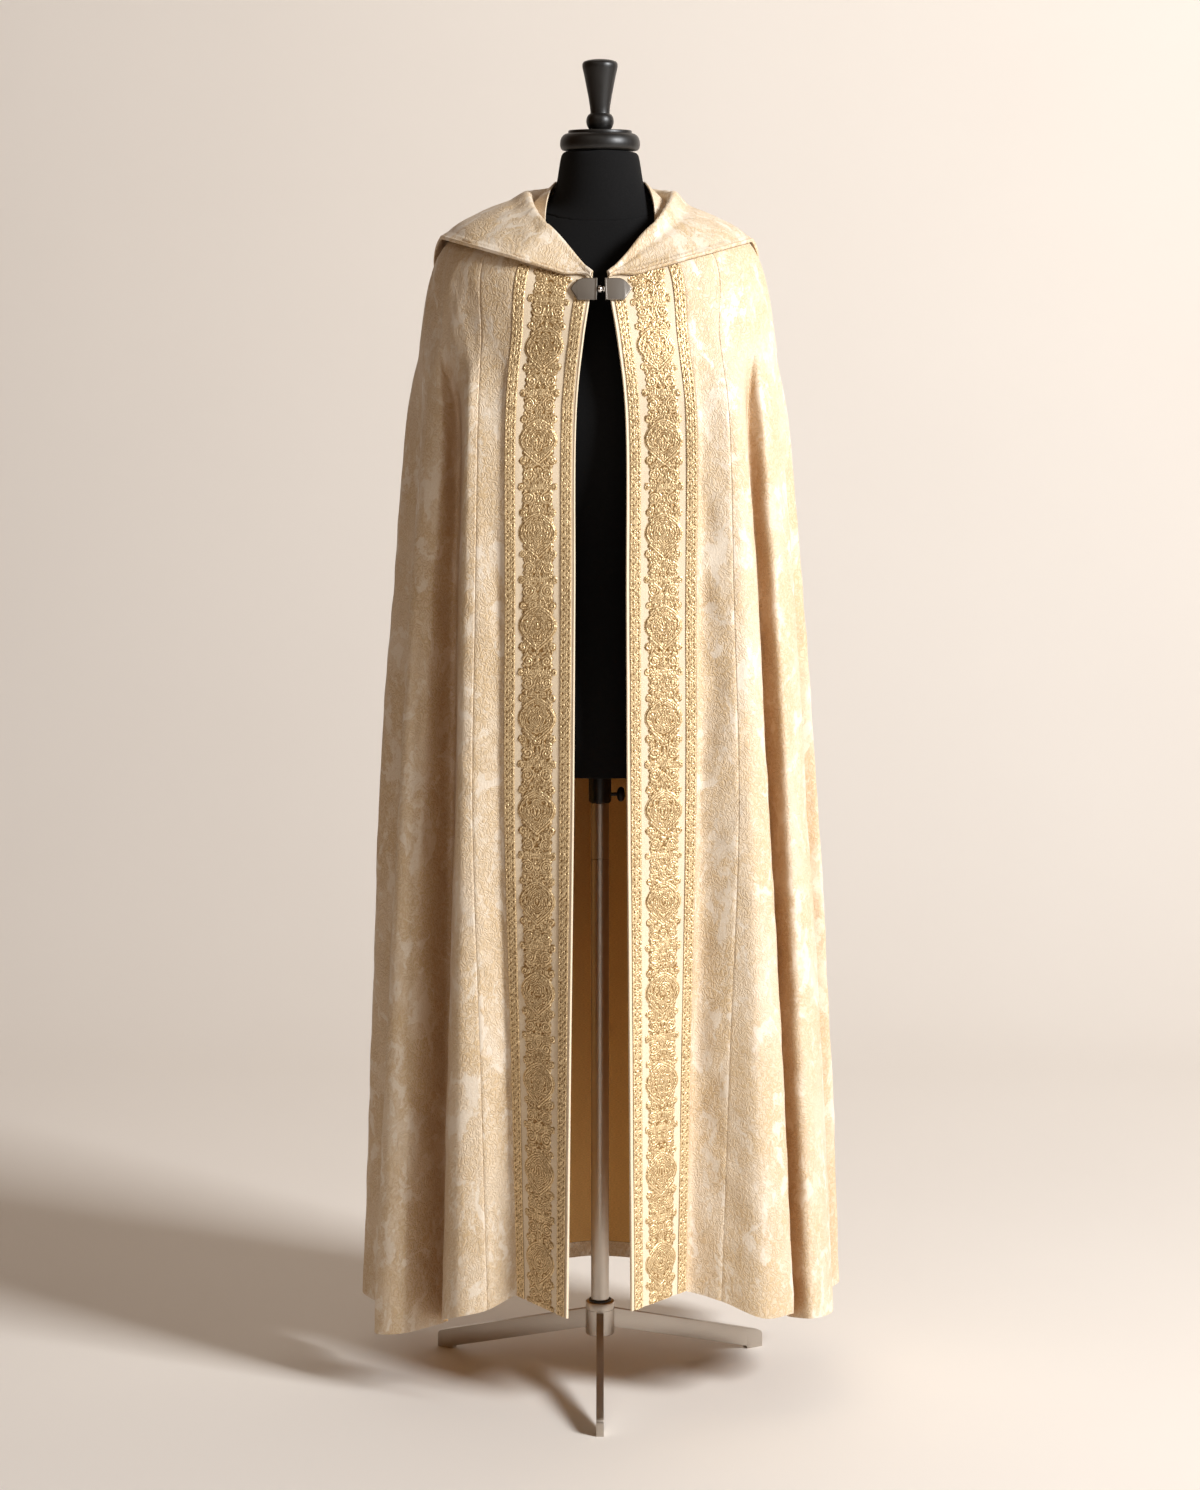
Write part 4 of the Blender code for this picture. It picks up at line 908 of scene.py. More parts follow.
def new_material(name, roughness, metallic=0.0, **constants):
    """Material with its Principled shader; constants are set on the shader's own sockets."""
    made = bpy.data.materials.new(name)
    made.use_nodes = True
    shade = Shade(made.node_tree)
    shader = made.node_tree.nodes["Principled BSDF"]
    shader.inputs["Roughness"].default_value = roughness
    shader.inputs["Metallic"].default_value = metallic
    for key, value in constants.items():
        shader.inputs[key.replace("_", " ")].default_value = value
    return made, shade, shader


def place_group(shade, group, values):
    """Places a node group in a material with its own values; returns its outputs."""
    return shade.add("ShaderNodeGroup", values, node_tree=group).outputs


def bump(shade, shader, height, strength, distance, normal=None):
    """Bump node on top of another normal, if one is given, as the shader's normal."""
    values = {"Height": height, "Strength": strength, "Distance": distance}
    if normal is not None:
        values["Normal"] = normal
    node = shade.add("ShaderNodeBump", values)
    shade.feed(shader, Normal=node.outputs[0])
    return node.outputs[0]


def colours():
    """The cope's colours in the scene's settings."""
    return bpy.context.scene.cope_colours


def rgba(value, share=(1.0, 1.0, 1.0)):
    """Colour with an alpha of 1, each of its parts taken down to a share."""
    return (value[0] * share[0], value[1] * share[1], value[2] * share[2], 1.0)


@once("materials", "ivory_gold_brocade")
def brocade_material(name):
    """Ivory brocade with satin figures, gold weft and a darker tint deep in its folds."""
    tint = colours()
    made, shade, shader = new_material(
        name, 0.5, 0.0, Sheen_Weight=0.1, Sheen_Roughness=0.4, Specular_IOR_Level=0.6)
    uv = shade.add("ShaderNodeUVMap", uv_map="UVMap").outputs[0]
    damask = place_group(shade, damask_group(), {"Vector": uv})
    weft = place_group(shade, crinkle_group(), {"Vector": uv, "Scale": 150.0, "Turns": 30.0})["Height"]
    weave = place_group(shade, weave_group(), {"Vector": uv, "Pitch": 1.1 * MM})
    worn = shade.math("MULTIPLY_ADD", damask["Gold"], 0.5, 0.10)
    gilt = shade.math("MULTIPLY", worn, shade.ramp(weft, 0.0, 1.0, 0.35, 1.0))
    ground = shade.mix(gilt, rgba(tint.brocade_ground), rgba(tint.brocade_gold))
    base = shade.mix(shade.math("MULTIPLY", damask["Figure"], 0.55), ground, rgba(tint.brocade_satin))
    dim = shade.ramp(damask["Speck"], 0.25, 0.75, 0.14, 0.0)
    cloth = shade.mix(dim, base, rgba(tint.brocade_gold))
    # Painted shade: where ambient occlusion finds the cloth shut in by its own folds, the colour is
    # multiplied by the warm fold tint.
    fold_occlusion = shade.add(
        "ShaderNodeAmbientOcclusion", {"Distance": PAINTED_SHADE_REACH}, samples=4, only_local=True)
    painted_shade = shade.ramp(fold_occlusion.outputs["AO"], 0.92, 0.30, 0.0, PAINTED_SHADE_STRENGTH)
    deep = shade.add(
        "ShaderNodeMix", {0: painted_shade, 6: cloth, 7: rgba(tint.fold)},
        data_type="RGBA", blend_type="MULTIPLY")
    rough = shade.ramp(damask["Figure"], 0.0, 1.0, 0.58, 0.42)
    shade.feed(shader, Base_Color=deep.outputs[2], Roughness=rough)
    relief = shade.math("MULTIPLY", weft, shade.math("MULTIPLY_ADD", damask["Figure"], -0.75, 1.0))
    first = bump(shade, shader, relief, 0.8, 0.6 * MM)
    second = bump(shade, shader, damask["Figure"], 0.4, 0.35 * MM, first)
    bump(shade, shader, weave["Height"], 0.3, 0.2 * MM, second)
    return made


@once("materials", "ochre_lining")
def lining_material(name):
    """Plain ochre weave."""
    made, shade, shader = new_material(name, 0.6, 0.0, Sheen_Weight=0.2)
    uv = shade.add("ShaderNodeUVMap", uv_map="UVMap").outputs[0]
    weave = place_group(shade, weave_group(), {"Vector": uv, "Pitch": 0.8 * MM})
    crinkle = place_group(shade, crinkle_group(), {"Vector": uv, "Scale": 60.0, "Turns": 14.0})
    base, dark = rgba(colours().lining), rgba(colours().lining, LINING_DARK)
    shade.feed(shader, Base_Color=shade.mix(weave["Mask"], base, dark))
    first = bump(shade, shader, crinkle["Height"], 0.12, 1.5 * MM)
    bump(shade, shader, weave["Height"], 0.25, 0.2 * MM, first)
    return made


@once("materials", "band_ground")
def band_material(name):
    """Pinkish cream weave under the embroidery."""
    made, shade, shader = new_material(name, 0.55, 0.0, Sheen_Weight=0.25)
    uv = shade.add("ShaderNodeUVMap", uv_map="UVMap").outputs[0]
    weave = place_group(shade, weave_group(), {"Vector": uv, "Pitch": 0.9 * MM})
    base, warm = rgba(colours().band), rgba(colours().band, BAND_WARM)
    warmed = shade.mix(shade.math("MULTIPLY", weave["Mask"], 0.5), base, warm)
    shade.feed(shader, Base_Color=warmed)
    bump(shade, shader, weave["Height"], 0.4, 0.3 * MM)
    return made


@once("materials", "gold_thread")
def gold_thread_material(name):
    """Couched gold thread, lit on its ridges and darker between them."""
    tint = colours()
    made, shade, shader = new_material(name, 0.4, 0.55, Specular_IOR_Level=0.9)
    uv = shade.add("ShaderNodeUVMap", uv_map="UVMap").outputs[0]
    relief = shade.add("ShaderNodeAttribute", attribute_name="relief").outputs["Fac"]
    strand = place_group(shade, crinkle_group(), {"Vector": uv, "Scale": 150.0, "Turns": 26.0})["Height"]
    stitch = shade.noise(shade.stretched(uv, (1500.0, 900.0, 1.0), math.radians(35)), 1.0, 2.0)
    # Painted light and shade: the colour runs from the lit thread colour on high relief and strand ridges
    # to the dark gap colour low between them.
    lit = shade.math("MULTIPLY", shade.ramp(relief, 0.0, 0.56), shade.ramp(strand, 0.0, 0.7, 0.5, 1.0))
    base = shade.mix(lit, rgba(tint.thread_gap_shade), rgba(tint.thread))
    # Stitches darker at random, mixed toward the same dark gap colour.
    worn = shade.mix(shade.ramp(stitch, 0.3, 0.7, 0.0, 0.3), base, rgba(tint.thread_gap_shade))
    shade.feed(shader, Base_Color=worn)
    first = bump(shade, shader, strand, 0.7, 0.5 * MM)
    bump(shade, shader, stitch, 0.3, 0.25 * MM, first)
    return made


@once("materials", "black_jersey")
def black_cloth_material(name):
    """Matt black jersey of the form."""
    made, shade, shader = new_material(name, 0.95, 0.0, Sheen_Weight=0.02, Specular_IOR_Level=0.18)
    place = shade.add("ShaderNodeTexCoord").outputs["Object"]
    knit = shade.noise(shade.stretched(place, (500.0, 500.0, 700.0)), 1.0, 2.0)
    base = shade.mix(knit, *(rgba(part) for part in JERSEY_BLACKS))
    shade.feed(shader, Base_Color=base)
    bump(shade, shader, knit, 0.3, 0.3 * MM)
    return made


@once("materials", "black_lacquer")
def black_wood_material(name):
    """Black lacquered wood."""
    made, shade, shader = new_material(name, 0.42, 0.0, Coat_Weight=0.12, Coat_Roughness=0.3)
    place = shade.add("ShaderNodeTexCoord").outputs["Object"]
    grain = shade.noise(shade.stretched(place, (60.0, 60.0, 9.0)), 4.0, 4.0, 0.6)
    base = shade.mix(grain, *(rgba(part) for part in LACQUER_BLACKS))
    shade.feed(shader, Base_Color=base, Roughness=shade.ramp(grain, 0.2, 0.8, 0.38, 0.5))
    bump(shade, shader, grain, 0.08, 0.2 * MM)
    return made


def steel_material(name, colour, roughness, scale):
    """Brushed steel; scale sets how finely it is brushed along X, Y and Z."""
    made, shade, shader = new_material(name, roughness, 1.0)
    place = shade.add("ShaderNodeTexCoord").outputs["Object"]
    brush = shade.noise(shade.stretched(place, scale), 1.0, 3.0, 0.6)
    smudge = shade.noise(place, 14.0, 3.0, 0.6)
    dark = rgba(colour, STEEL_DARK)
    shade.feed(shader, Base_Color=shade.mix(brush, dark, rgba(colour)))
    brushed = shade.ramp(brush, 0.2, 0.8, roughness - 0.06, roughness + 0.08)
    rough = shade.math("ADD", brushed, shade.math("MULTIPLY", smudge, 0.08))
    shade.feed(shader, Roughness=rough)
    bump(shade, shader, brush, 0.12, 0.1 * MM)
    return made


@once("materials", "brushed_steel")
def stand_steel(name):
    return steel_material(name, colours().steel, 0.34, (900.0, 900.0, 40.0))


@once("materials", "leg_steel")
def leg_steel(name):
    return steel_material(name, colours().steel, 0.36, (60.0, 60.0, 900.0))


@once("materials", "clasp_steel")
def clasp_steel(name):
    return steel_material(name, colours().clasp, 0.32, (50.0, 50.0, 1400.0))


@once("materials", "polished_steel")
def bright_steel(name):
    return steel_material(name, BRIGHT_STEEL, 0.14, (900.0, 90.0, 90.0))


# ----------------------------------------------------------------------------- hard pieces by hand

def begin():
    """Object mode with nothing selected."""
    if bpy.context.object and bpy.context.object.mode != "OBJECT":
        bpy.ops.object.mode_set(mode="OBJECT")
    bpy.ops.object.select_all(action="DESELECT")


def named(name):
    """Names the new object and its mesh."""
    piece = bpy.context.object
    piece.name = name
    piece.data.name = name
    return piece


def settle(piece, material, angle=35.0):
    """Applies the piece's place and modifiers, shades it and gives it its material."""
    begin()
    piece.select_set(True)
    bpy.context.view_layer.objects.active = piece
    bpy.ops.object.transform_apply(location=True, rotation=True, scale=True)
    for modifier in list(piece.modifiers):
        bpy.ops.object.modifier_apply(modifier=modifier.name)
    bpy.ops.object.mode_set(mode="EDIT")
    bpy.ops.mesh.select_all(action="SELECT")
    bpy.ops.mesh.normals_make_consistent(inside=False)
    bpy.ops.object.mode_set(mode="OBJECT")
    bpy.ops.object.shade_smooth_by_angle(angle=math.radians(angle))
    piece.data.materials.clear()
    piece.data.materials.append(material)
    return piece


def pick(piece, test):
    """Selects, in edit mode, the vertices whose places pass a test."""
    bpy.ops.object.mode_set(mode="EDIT")
    bpy.ops.mesh.select_mode(type="VERT")
    bpy.ops.mesh.select_all(action="DESELECT")
    bpy.ops.object.mode_set(mode="OBJECT")
    for vertex in piece.data.vertices:
        vertex.select = bool(test(vertex.co))
    bpy.ops.object.mode_set(mode="EDIT")


def turned(name, profile, loop=False):
    """Piece turned about the Z axis from (radius, z) points: a circle, extruded and resized from
    point to point.  A loop ends where it starts and has a hole through it."""
    begin()
    radius, z = profile[0]
    bpy.ops.mesh.primitive_circle_add(vertices=ROUND_SIDES, radius=radius, location=(0.0, 0.0, z))
    piece = named(name)
    bpy.ops.object.transform_apply(location=True, rotation=False, scale=False)
    bpy.ops.object.mode_set(mode="EDIT")
    bpy.ops.mesh.select_all(action="SELECT")
    if not loop:
        bpy.ops.mesh.edge_face_add()
    rest = profile[1:] + profile[:1] if loop else profile[1:]
    for next_radius, next_z in rest:
        move = {"value": (0.0, 0.0, next_z - z)}
        if loop:
            bpy.ops.mesh.extrude_edges_move(TRANSFORM_OT_translate=move)
        else:
            bpy.ops.mesh.extrude_region_move(TRANSFORM_OT_translate=move)
        factor = next_radius / radius
        bpy.ops.transform.resize(value=(factor, factor, 1.0), center_override=(0.0, 0.0, next_z))
        radius, z = next_radius, next_z
    bpy.ops.mesh.select_all(action="SELECT")
    bpy.ops.mesh.remove_doubles(threshold=1e-6)
    bpy.ops.object.mode_set(mode="OBJECT")
    return piece


def bar(name, stations, thickness):
    """Flat bar lying in the XY plane: a square drawn out edge by edge through (x, low, high)
    stations and then made thick upwards."""
    begin()
    bpy.ops.mesh.primitive_plane_add(size=1.0, location=(0.0, 0.0, 0.0))
    piece = named(name)
    for (x, low, high), place in zip(stations[:2], (-0.5, 0.5)):
        pick(piece, lambda co, place=place: abs(co.x - place) < 1e-4)
        bpy.ops.transform.resize(value=(1.0, high - low, 1.0), center_override=(place, 0.0, 0.0))
        bpy.ops.transform.translate(value=(x - place, (low + high) / 2, 0.0))
    last_x, last_low, last_high = stations[1]
    for x, low, high in stations[2:]:
        step = (x - last_x, (low + high - last_low - last_high) / 2, 0.0)
        bpy.ops.mesh.extrude_edges_move(TRANSFORM_OT_translate={"value": step})
        factor = (high - low) / (last_high - last_low)
        bpy.ops.transform.resize(value=(1.0, factor, 1.0), center_override=(x, (low + high) / 2, 0.0))
        last_x, last_low, last_high = x, low, high
    bpy.ops.mesh.select_all(action="SELECT")
    bpy.ops.mesh.extrude_region_move(TRANSFORM_OT_translate={"value": (0.0, 0.0, thickness)})
    bpy.ops.object.mode_set(mode="OBJECT")
    return piece


def add_bevel(piece, width, segments=2, angle=30.0):
    """Bevel on a piece's edges that are sharper than an angle."""
    modifier = piece.modifiers.new("bevel", "BEVEL")
    modifier.width = width
    modifier.segments = segments
    modifier.limit_method = "ANGLE"
    modifier.angle_limit = math.radians(angle)
    return modifier


def hard_piece(piece, body, node, material, angle=35.0):
    """Finishes a hard piece, which moves with a body in place of a solid."""
    settle(piece, material, angle)
    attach(piece, body)
    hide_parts(node)
    return piece


# ----------------------------------------------------------------------------- pieces of the cope

def part_at_seams(grid):
    """Moves a grid's first and last columns half a seam gap in."""
    for edge, beside in ((0, 1), (-1, -2)):
        step = grid[:, beside] - grid[:, edge]
        step /= np.linalg.norm(step, axis=-1, keepdims=True)
        grid[:, edge] += step * SEAM_GAP / 2
    return grid


def make_panel(name, start, end, sizes):
    """One panel of the cope between two columns, as a wall of brocade over its lining."""
    cols = column_places(start, end, sizes.cloth_step)
    rows = fall_places(0.0, HEM, sizes.cloth_step * 1.2)
    points, normals = surface(cols, rows)
    height = (crumple(cols, rows) + seam_dip(cols, start, end))[..., None]
    outer = part_at_seams(points + normals * height)
    inner = part_at_seams(points + normals * (height - sizes.cloth_wall))
    piece = wall_object(name, outer, inner, flat_uv(outer), [brocade_material(), lining_material()])
    finish_cloth(piece, [name])
    return piece


def band_columns(side, start, width, count):
    """Columns across part of the band, from left to right."""
    places = (start + width * np.linspace(0.0, 1.0, count)) / BAND_WIDTH
    return places if side < 0 else (LAST_COLUMN - places)[::-1]


def band_falls(side, spacing, start=1.0):
    """Places down the band at even lengths from where the ornament starts, and those lengths."""
    fine = np.linspace(start, HEM, 600)
    column = 0.5 if side < 0 else LAST_COLUMN - 0.5
    line = cloth_points([column], fine)[:, 0]
    run = np.concatenate([[0.0], np.cumsum(np.linalg.norm(np.diff(line, axis=0), axis=1))])
    count = int(run[-1] / spacing)
    lengths = np.linspace(0.0, run[-1], count + 1)
    return np.interp(lengths, run, fine), lengths


def make_orphrey(side, tag):
    """Interlined band of one front edge, piped where it turns under; also its outer face."""
    name = "orphrey_" + tag
    edge = np.linspace(0.0, 4.0 * MM, 9)
    places = np.concatenate([edge, np.linspace(edge[-1], BAND_WIDTH, 31)[1:]])
    cols = places / BAND_WIDTH if side < 0 else LAST_COLUMN - places[::-1] / BAND_WIDTH
    rows = fall_places(0.0, HEM, 6.0 * MM)
    points, normals = surface(cols, rows)
    from_edge = places if side < 0 else places[::-1]
    half_pipe, rise = ORPHREY_PIPING
    piping = rise * rope((from_edge - half_pipe) / half_pipe)[None, :]
    wave = 0.35 * MM * noise(cols[None, :] * 9.0, rows[:, None] * 5.0, 21) + piping
    outer = points + normals * wave[..., None]
    inner = points - normals * ORPHREY_WALL
    band = wall_object(name, outer, inner, flat_uv(outer), [band_material(), lining_material()])
    return band, outer


def rope(phase):
    """Height of a twisted cord across its own width, from 0 to 1, for a phase from -1 to 1."""
    return np.sqrt(np.clip(1.0 - phase * phase, 0.0, 1.0))


def make_braid(side, tag, start):
    """Braid with corded edges and two strands twisted round each other between them."""
    name = "braid_" + tag
    rows, lengths = band_falls(side, 1.0 * MM)
    cols = band_columns(side, start, BRAID_WIDTH, BRAID_POINTS)
    across = np.linspace(-BRAID_WIDTH / 2, BRAID_WIDTH / 2, BRAID_POINTS)[None, :]
    along = lengths[:, None]
    turn = 2 * math.pi * along / BRAID_PERIOD
    rise = np.zeros((len(rows), BRAID_POINTS))
    for phase in (0.0, math.pi):
        centre = STRAND_SWING * np.sin(turn + phase)
        over = 0.5 + 0.5 * np.cos(turn + phase)
        for beside in (-STRAND_OFFSET, STRAND_OFFSET):
            strand = rope((across - centre - beside) / STRAND_HALF) * (0.7 + 0.3 * over)
            rise = np.maximum(rise, strand)
    for place in (0.25, 0.75):
        bead = np.hypot(across, (along / BRAID_PERIOD * 2 % 1.0 - 2 * place % 1.0) * BRAID_PERIOD / 2)
        rise = np.maximum(rise, 0.8 * rope(bead / BEAD_HALF))
    for edge in CORD_PLACES:
        cord = rope((across - edge) / CORD_HALF)
        rise = np.maximum(rise, cord * (0.7 + 0.25 * np.sin(2 * math.pi * along / CORD_TWIST)))
    points, normals = surface(cols, rows)
    grid = points + normals * (THREAD_LIFT + BRAID_RELIEF * rise)[..., None]
    for edge in (0, -1):
        grid[:, edge] = points[:, edge] + normals[:, edge] * 0.2 * MM
    return gold_work(sheet_object(name, grid, flat_uv(grid), [gold_thread_material()], values=rise), name)


def gold_work(piece, name):
    """Lays a piece of gold thread on the cope in place of its plain strip."""
    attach(piece, "form")
    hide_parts(name)
    return piece


# ----------------------------------------------------------------------------- embroidery

def medallion_edge(s, t):
    """Distance in from the medallion's outline, in millimetres; t runs down from its widest."""
    high = np.clip(-t / MEDALLION_TOP, 0.0, 1.0) * math.pi / 2
    low = np.clip(t / MEDALLION_FOOT, 0.0, 1.0) * math.pi / 2
    top = MEDALLION_HALF * np.maximum(np.cos(high), 1e-3) ** MEDALLION_TOP_FULLNESS
    foot = MEDALLION_HALF * np.maximum(np.cos(low), 1e-3) ** MEDALLION_FOOT_FULLNESS
    top_slope = top * MEDALLION_TOP_FULLNESS * np.tan(np.minimum(high, 1.55)) * math.pi / 2
    foot_slope = foot * MEDALLION_FOOT_FULLNESS * np.tan(np.minimum(low, 1.55)) * math.pi / 2
    top_slope, foot_slope = top_slope / MEDALLION_TOP, foot_slope / MEDALLION_FOOT
    half, slope = np.where(t < 0, top, foot), np.where(t < 0, top_slope, foot_slope)
    beyond = np.maximum(-t - MEDALLION_TOP, 0.0) + np.maximum(t - MEDALLION_FOOT, 0.0)
    return (half - np.abs(s)) / np.hypot(1.0, slope) - beyond


def wrapped(t, centre):
    """Distance along the band from the nearest repeat of a place."""
    repeat = MOTIF_REPEAT / MM
    return (t - centre + repeat / 2) % repeat - repeat / 2


def ridge(distance, half):
    """Rounded ridge from 0 to 1 across a half width."""
    return np.clip(1.0 - (distance / half) ** 2, 0.0, 1.0)


def strands(value):
    """Strands that follow the contours of a value, one a unit: 1 along a strand, 0 between."""
    return 0.5 + 0.5 * np.cos(2 * math.pi * value)


def embroidery_relief(s, t):
    """Relief of the stitched work from 0 to 1, and how far each place is in from its outline;
    s across from the middle and t down the band, in millimetres."""
    across = np.abs(s)
    place = wrapped(t, 0.0)
    edge = medallion_edge(s, place)
    body = STEM_HALF + 0.9 * np.cos(2 * math.pi * t / 8.7) - across
    inside = np.maximum(edge, body)
    curl = 0.9 * noise(across / 6.5, t / 6.5, 31) + 0.45 * noise(across / 3.2, t / 3.2, 33)
    height = np.where(edge > 0, strands(edge / ECHO + curl), strands(across / 7.0 + 1.9 * curl))
    height = 0.72 * height
    for centre_s, centre_t, radius, way in SCROLLS:
        ds, dt = across - centre_s, wrapped(t, centre_t)
        distance = np.hypot(ds, dt)
        turn = np.arctan2(dt, ds) / (2 * math.pi)
        spiral = strands(distance / 3.2 - way * turn + 0.35 * curl)
        height = np.where(distance < radius, spiral, height)
        if radius < 5.0:
            inside = np.maximum(inside, radius + 0.8 - distance)
    middle, half, ground = OUTLINE_GROUND
    height = np.where(np.abs(edge - middle) < half, ground, height)
    for middle, half, rise in OUTLINE_CORDS:
        cord = np.where(edge > -OUTLINE_REACH, rise * ridge(edge - middle, half), 0.0)
        height = np.maximum(height, cord)
    bar = np.abs(wrapped(t, 0.5 * MOTIF_REPEAT / MM))
    bar_half = BAR_HALF + BAR_FLARE * (across / STEM_HALF) ** 2
    in_bar = (bar < bar_half + 0.9) & (across < BAR_REACH)
    fringe = 0.55 + 0.3 * np.cos(2 * math.pi * s / 3.0)
    crossbar = np.maximum(fringe * ridge(bar, 2.4), 0.8 * ridge(bar - bar_half, 1.0))
    height = np.where(in_bar, crossbar, height)
    return np.clip(height, 0.0, 1.0), inside


def make_embroidery(side, tag, sizes):
    """Gold embroidery of one band: ogee medallions between crossbars, worked in fine strands."""
    name = "embroidery_" + tag
    spacing = sizes.stitch_step
    rows, lengths = band_falls(side, spacing)
    count = int(FIELD_WIDTH / spacing) + 1
    start = EDGE_MARGIN + BRAID_WIDTH + BRAID_SPACE
    cols = band_columns(side, start, FIELD_WIDTH, count)
    s = np.linspace(-0.5, 0.5, count)[None, :] * FIELD_WIDTH / MM
    t = (lengths[:, None] - FIRST_MEDALLION) / MM
    relief, inside = embroidery_relief(s, t)
    dome = np.clip(1.0 - np.hypot(s / 26.0, wrapped(t, 0.0) / 27.0) ** 4, 0.0, 1.0)
    points, normals = surface(cols, rows)
    rise = THREAD_LIFT + 0.7 * MM * dome + 1.1 * MM * relief
    rise = rise * smooth_step(inside / 1.8)
    grid = points + normals * (0.1 * MM + rise)[..., None]
    piece = sheet_object(
        name, grid, flat_uv(grid), [gold_thread_material()], keep=inside > 0, values=relief)
    return gold_work(piece, name)


# ----------------------------------------------------------------------------- hood and collar

def hood_edge_fall(half):
    """How far down the cloth the hood's edge lies at each column from the front."""
    near_clasp = 0.35 + 0.65 * smooth_step(half / 0.4)
    behind = np.clip((half - HOOD_TURN_COLUMN) / (BACK_COLUMN - HOOD_TURN_COLUMN), 0.0, 1.0)
    swept = behind ** 1.3
    return near_clasp + (HOOD_BACK_FALL - 1.0) * (0.5 * swept + 0.5 * np.sin(swept * math.pi / 2))


def hood_profile(half, side):
    """Points of the hood's under face, from inside the neck over the roll to its edge."""
    lift_edge, lift_roll = HOOD_LIFTS[side]
    columns = half if side < 0 else LAST_COLUMN - half
    base, away = (a[0] for a in surface(columns, [0.0]))
    flat = away * np.array([1.0, 1.0, 0.0])
    flat /= np.linalg.norm(flat, axis=-1, keepdims=True)
    up = np.array([[0.0, 0.0, 1.0]])
    opening = smooth_step(half / HOOD_OPENING_COLUMN)[:, None]
    stand = STAND_AT_CLASP + (STAND_HEIGHT - STAND_AT_CLASP) * opening
    roll = ROLL_AT_CLASP + (ROLL_WIDTH - ROLL_AT_CLASP) * opening
    low = HOOD_LIFT_AT_CLASP + (lift_edge - HOOD_LIFT_AT_CLASP) * opening
    high = HOOD_LIFT_AT_CLASP + (lift_roll - HOOD_LIFT_AT_CLASP) * opening
    lines = [base + up * 0.3 * MM]
    for rise, lean, turn_over in HOOD_STAND:
        lines.append(base + up * rise * stand - flat * lean * stand + flat * turn_over * roll)
    edge = hood_edge_fall(half)
    for share, fullness in HOOD_SHARES:
        lift = high + (low - high) * smooth_step(share * 1.15) + fullness * opening
        line = []
        for k in range(len(half)):
            point, normal = surface(columns[k:k + 1], [edge[k] * share])
            line.append(point[0, 0] + normal[0, 0] * lift[k, 0])
        lines.append(np.array(line))
    return np.array(lines)


def make_hood(side, tag, sizes):
    """One half of the hood, turned down over the shoulder, with a rolled double edge."""
    name = "hood_" + tag
    half = np.concatenate([np.linspace(0.0, 1.0, 14), np.linspace(1.0, BACK_COLUMN, 86)[1:]])
    lines = hood_profile(half, side)
    stand, fall, rim = np.linspace(0.0, 4.0, 20), np.linspace(4.0, 8.8, 40), np.linspace(8.8, 9.0, 3)
    body = np.concatenate([stand, fall[1:], rim[1:]])
    under = catmull(lines, body)
    if side > 0:
        under = under[:, ::-1]
    normal = grid_normals(under)
    length = np.linalg.norm(np.diff(under, axis=0), axis=-1)
    from_edge = np.concatenate([np.cumsum(length[::-1], axis=0)[::-1], np.zeros((1, under.shape[1]))])
    piping, second = (
        rope((from_edge - place) / half_width) * rise for place, half_width, rise in HOOD_ROLLS)
    lump = 0.8 * MM * noise(half[None, :] * 1.4, body[:, None] * 0.8, 41) * smooth_step(from_edge / 0.03)
    outer = under + normal * (sizes.cloth_wall + np.maximum(piping, second) + lump)[..., None]
    piece = wall_object(name, outer, under, fanned_uv(outer), [brocade_material(), brocade_material()])
    finish_cloth(piece, [name])
    return piece


def make_collar():
    """Curved strip inside the hood, round the sides and back of the neck."""
    rows = []
    for up_share in np.linspace(1.0, 0.0, 14):
        start = COLLAR_FRONT_FOOT + (COLLAR_FRONT_TOP - COLLAR_FRONT_FOOT) * up_share
        row = []
        for turn_total in np.linspace(start, 360.0 - start, 61):
            side = -1 if turn_total <= 180.0 else 1
            turn = min(turn_total, 360.0 - turn_total)
            across, along = math.sin(math.radians(turn)), math.cos(math.radians(turn))
            foot = ring_point(LEVELS[0], turn, side)
            level = foot * np.array([1.0, 1.0, 0.0])
            foot = foot - level / np.linalg.norm(level) * COLLAR_INSET
            foot[2] += COLLAR_LIFT
            top_z = COLLAR_TOP + COLLAR_RISE_BACK * max(0.0, -along)
            top = np.array([side * COLLAR_HALF_WIDTH * across, -COLLAR_DEPTH * along, top_z])
            row.append(foot + (top - foot) * up_share + AXIS)
        rows.append(row)
    outer = np.array(rows)
    inner = outer - grid_normals(outer) * COLLAR_WALL
    piece = wall_object("collar", outer, inner, flat_uv(outer), [brocade_material()])
    finish_cloth(piece, ["collar"])
    return piece


# ----------------------------------------------------------------------------- lining and facing

def make_inside(name, top, foot, material, sizes):
    """A layer laid inside the back panels between two places down the cloth."""
    cols = column_places(SEAM_B, LAST_COLUMN - SEAM_B, 2 * sizes.cloth_step, seam=False)
    rows = fall_places(top, foot, sizes.cloth_step * 1.5)
    points, normals = surface(cols, rows)
    height = crumple(cols, rows)[..., None] - sizes.cloth_wall - LINING_SPACE
    outer, inner = points + normals * height, points + normals * (height - LINING_WALL)
    piece = wall_object(name, outer, inner, flat_uv(outer), [material])
    finish_cloth(piece, [name])
    return piece


# ----------------------------------------------------------------------------- form, stand, clasp


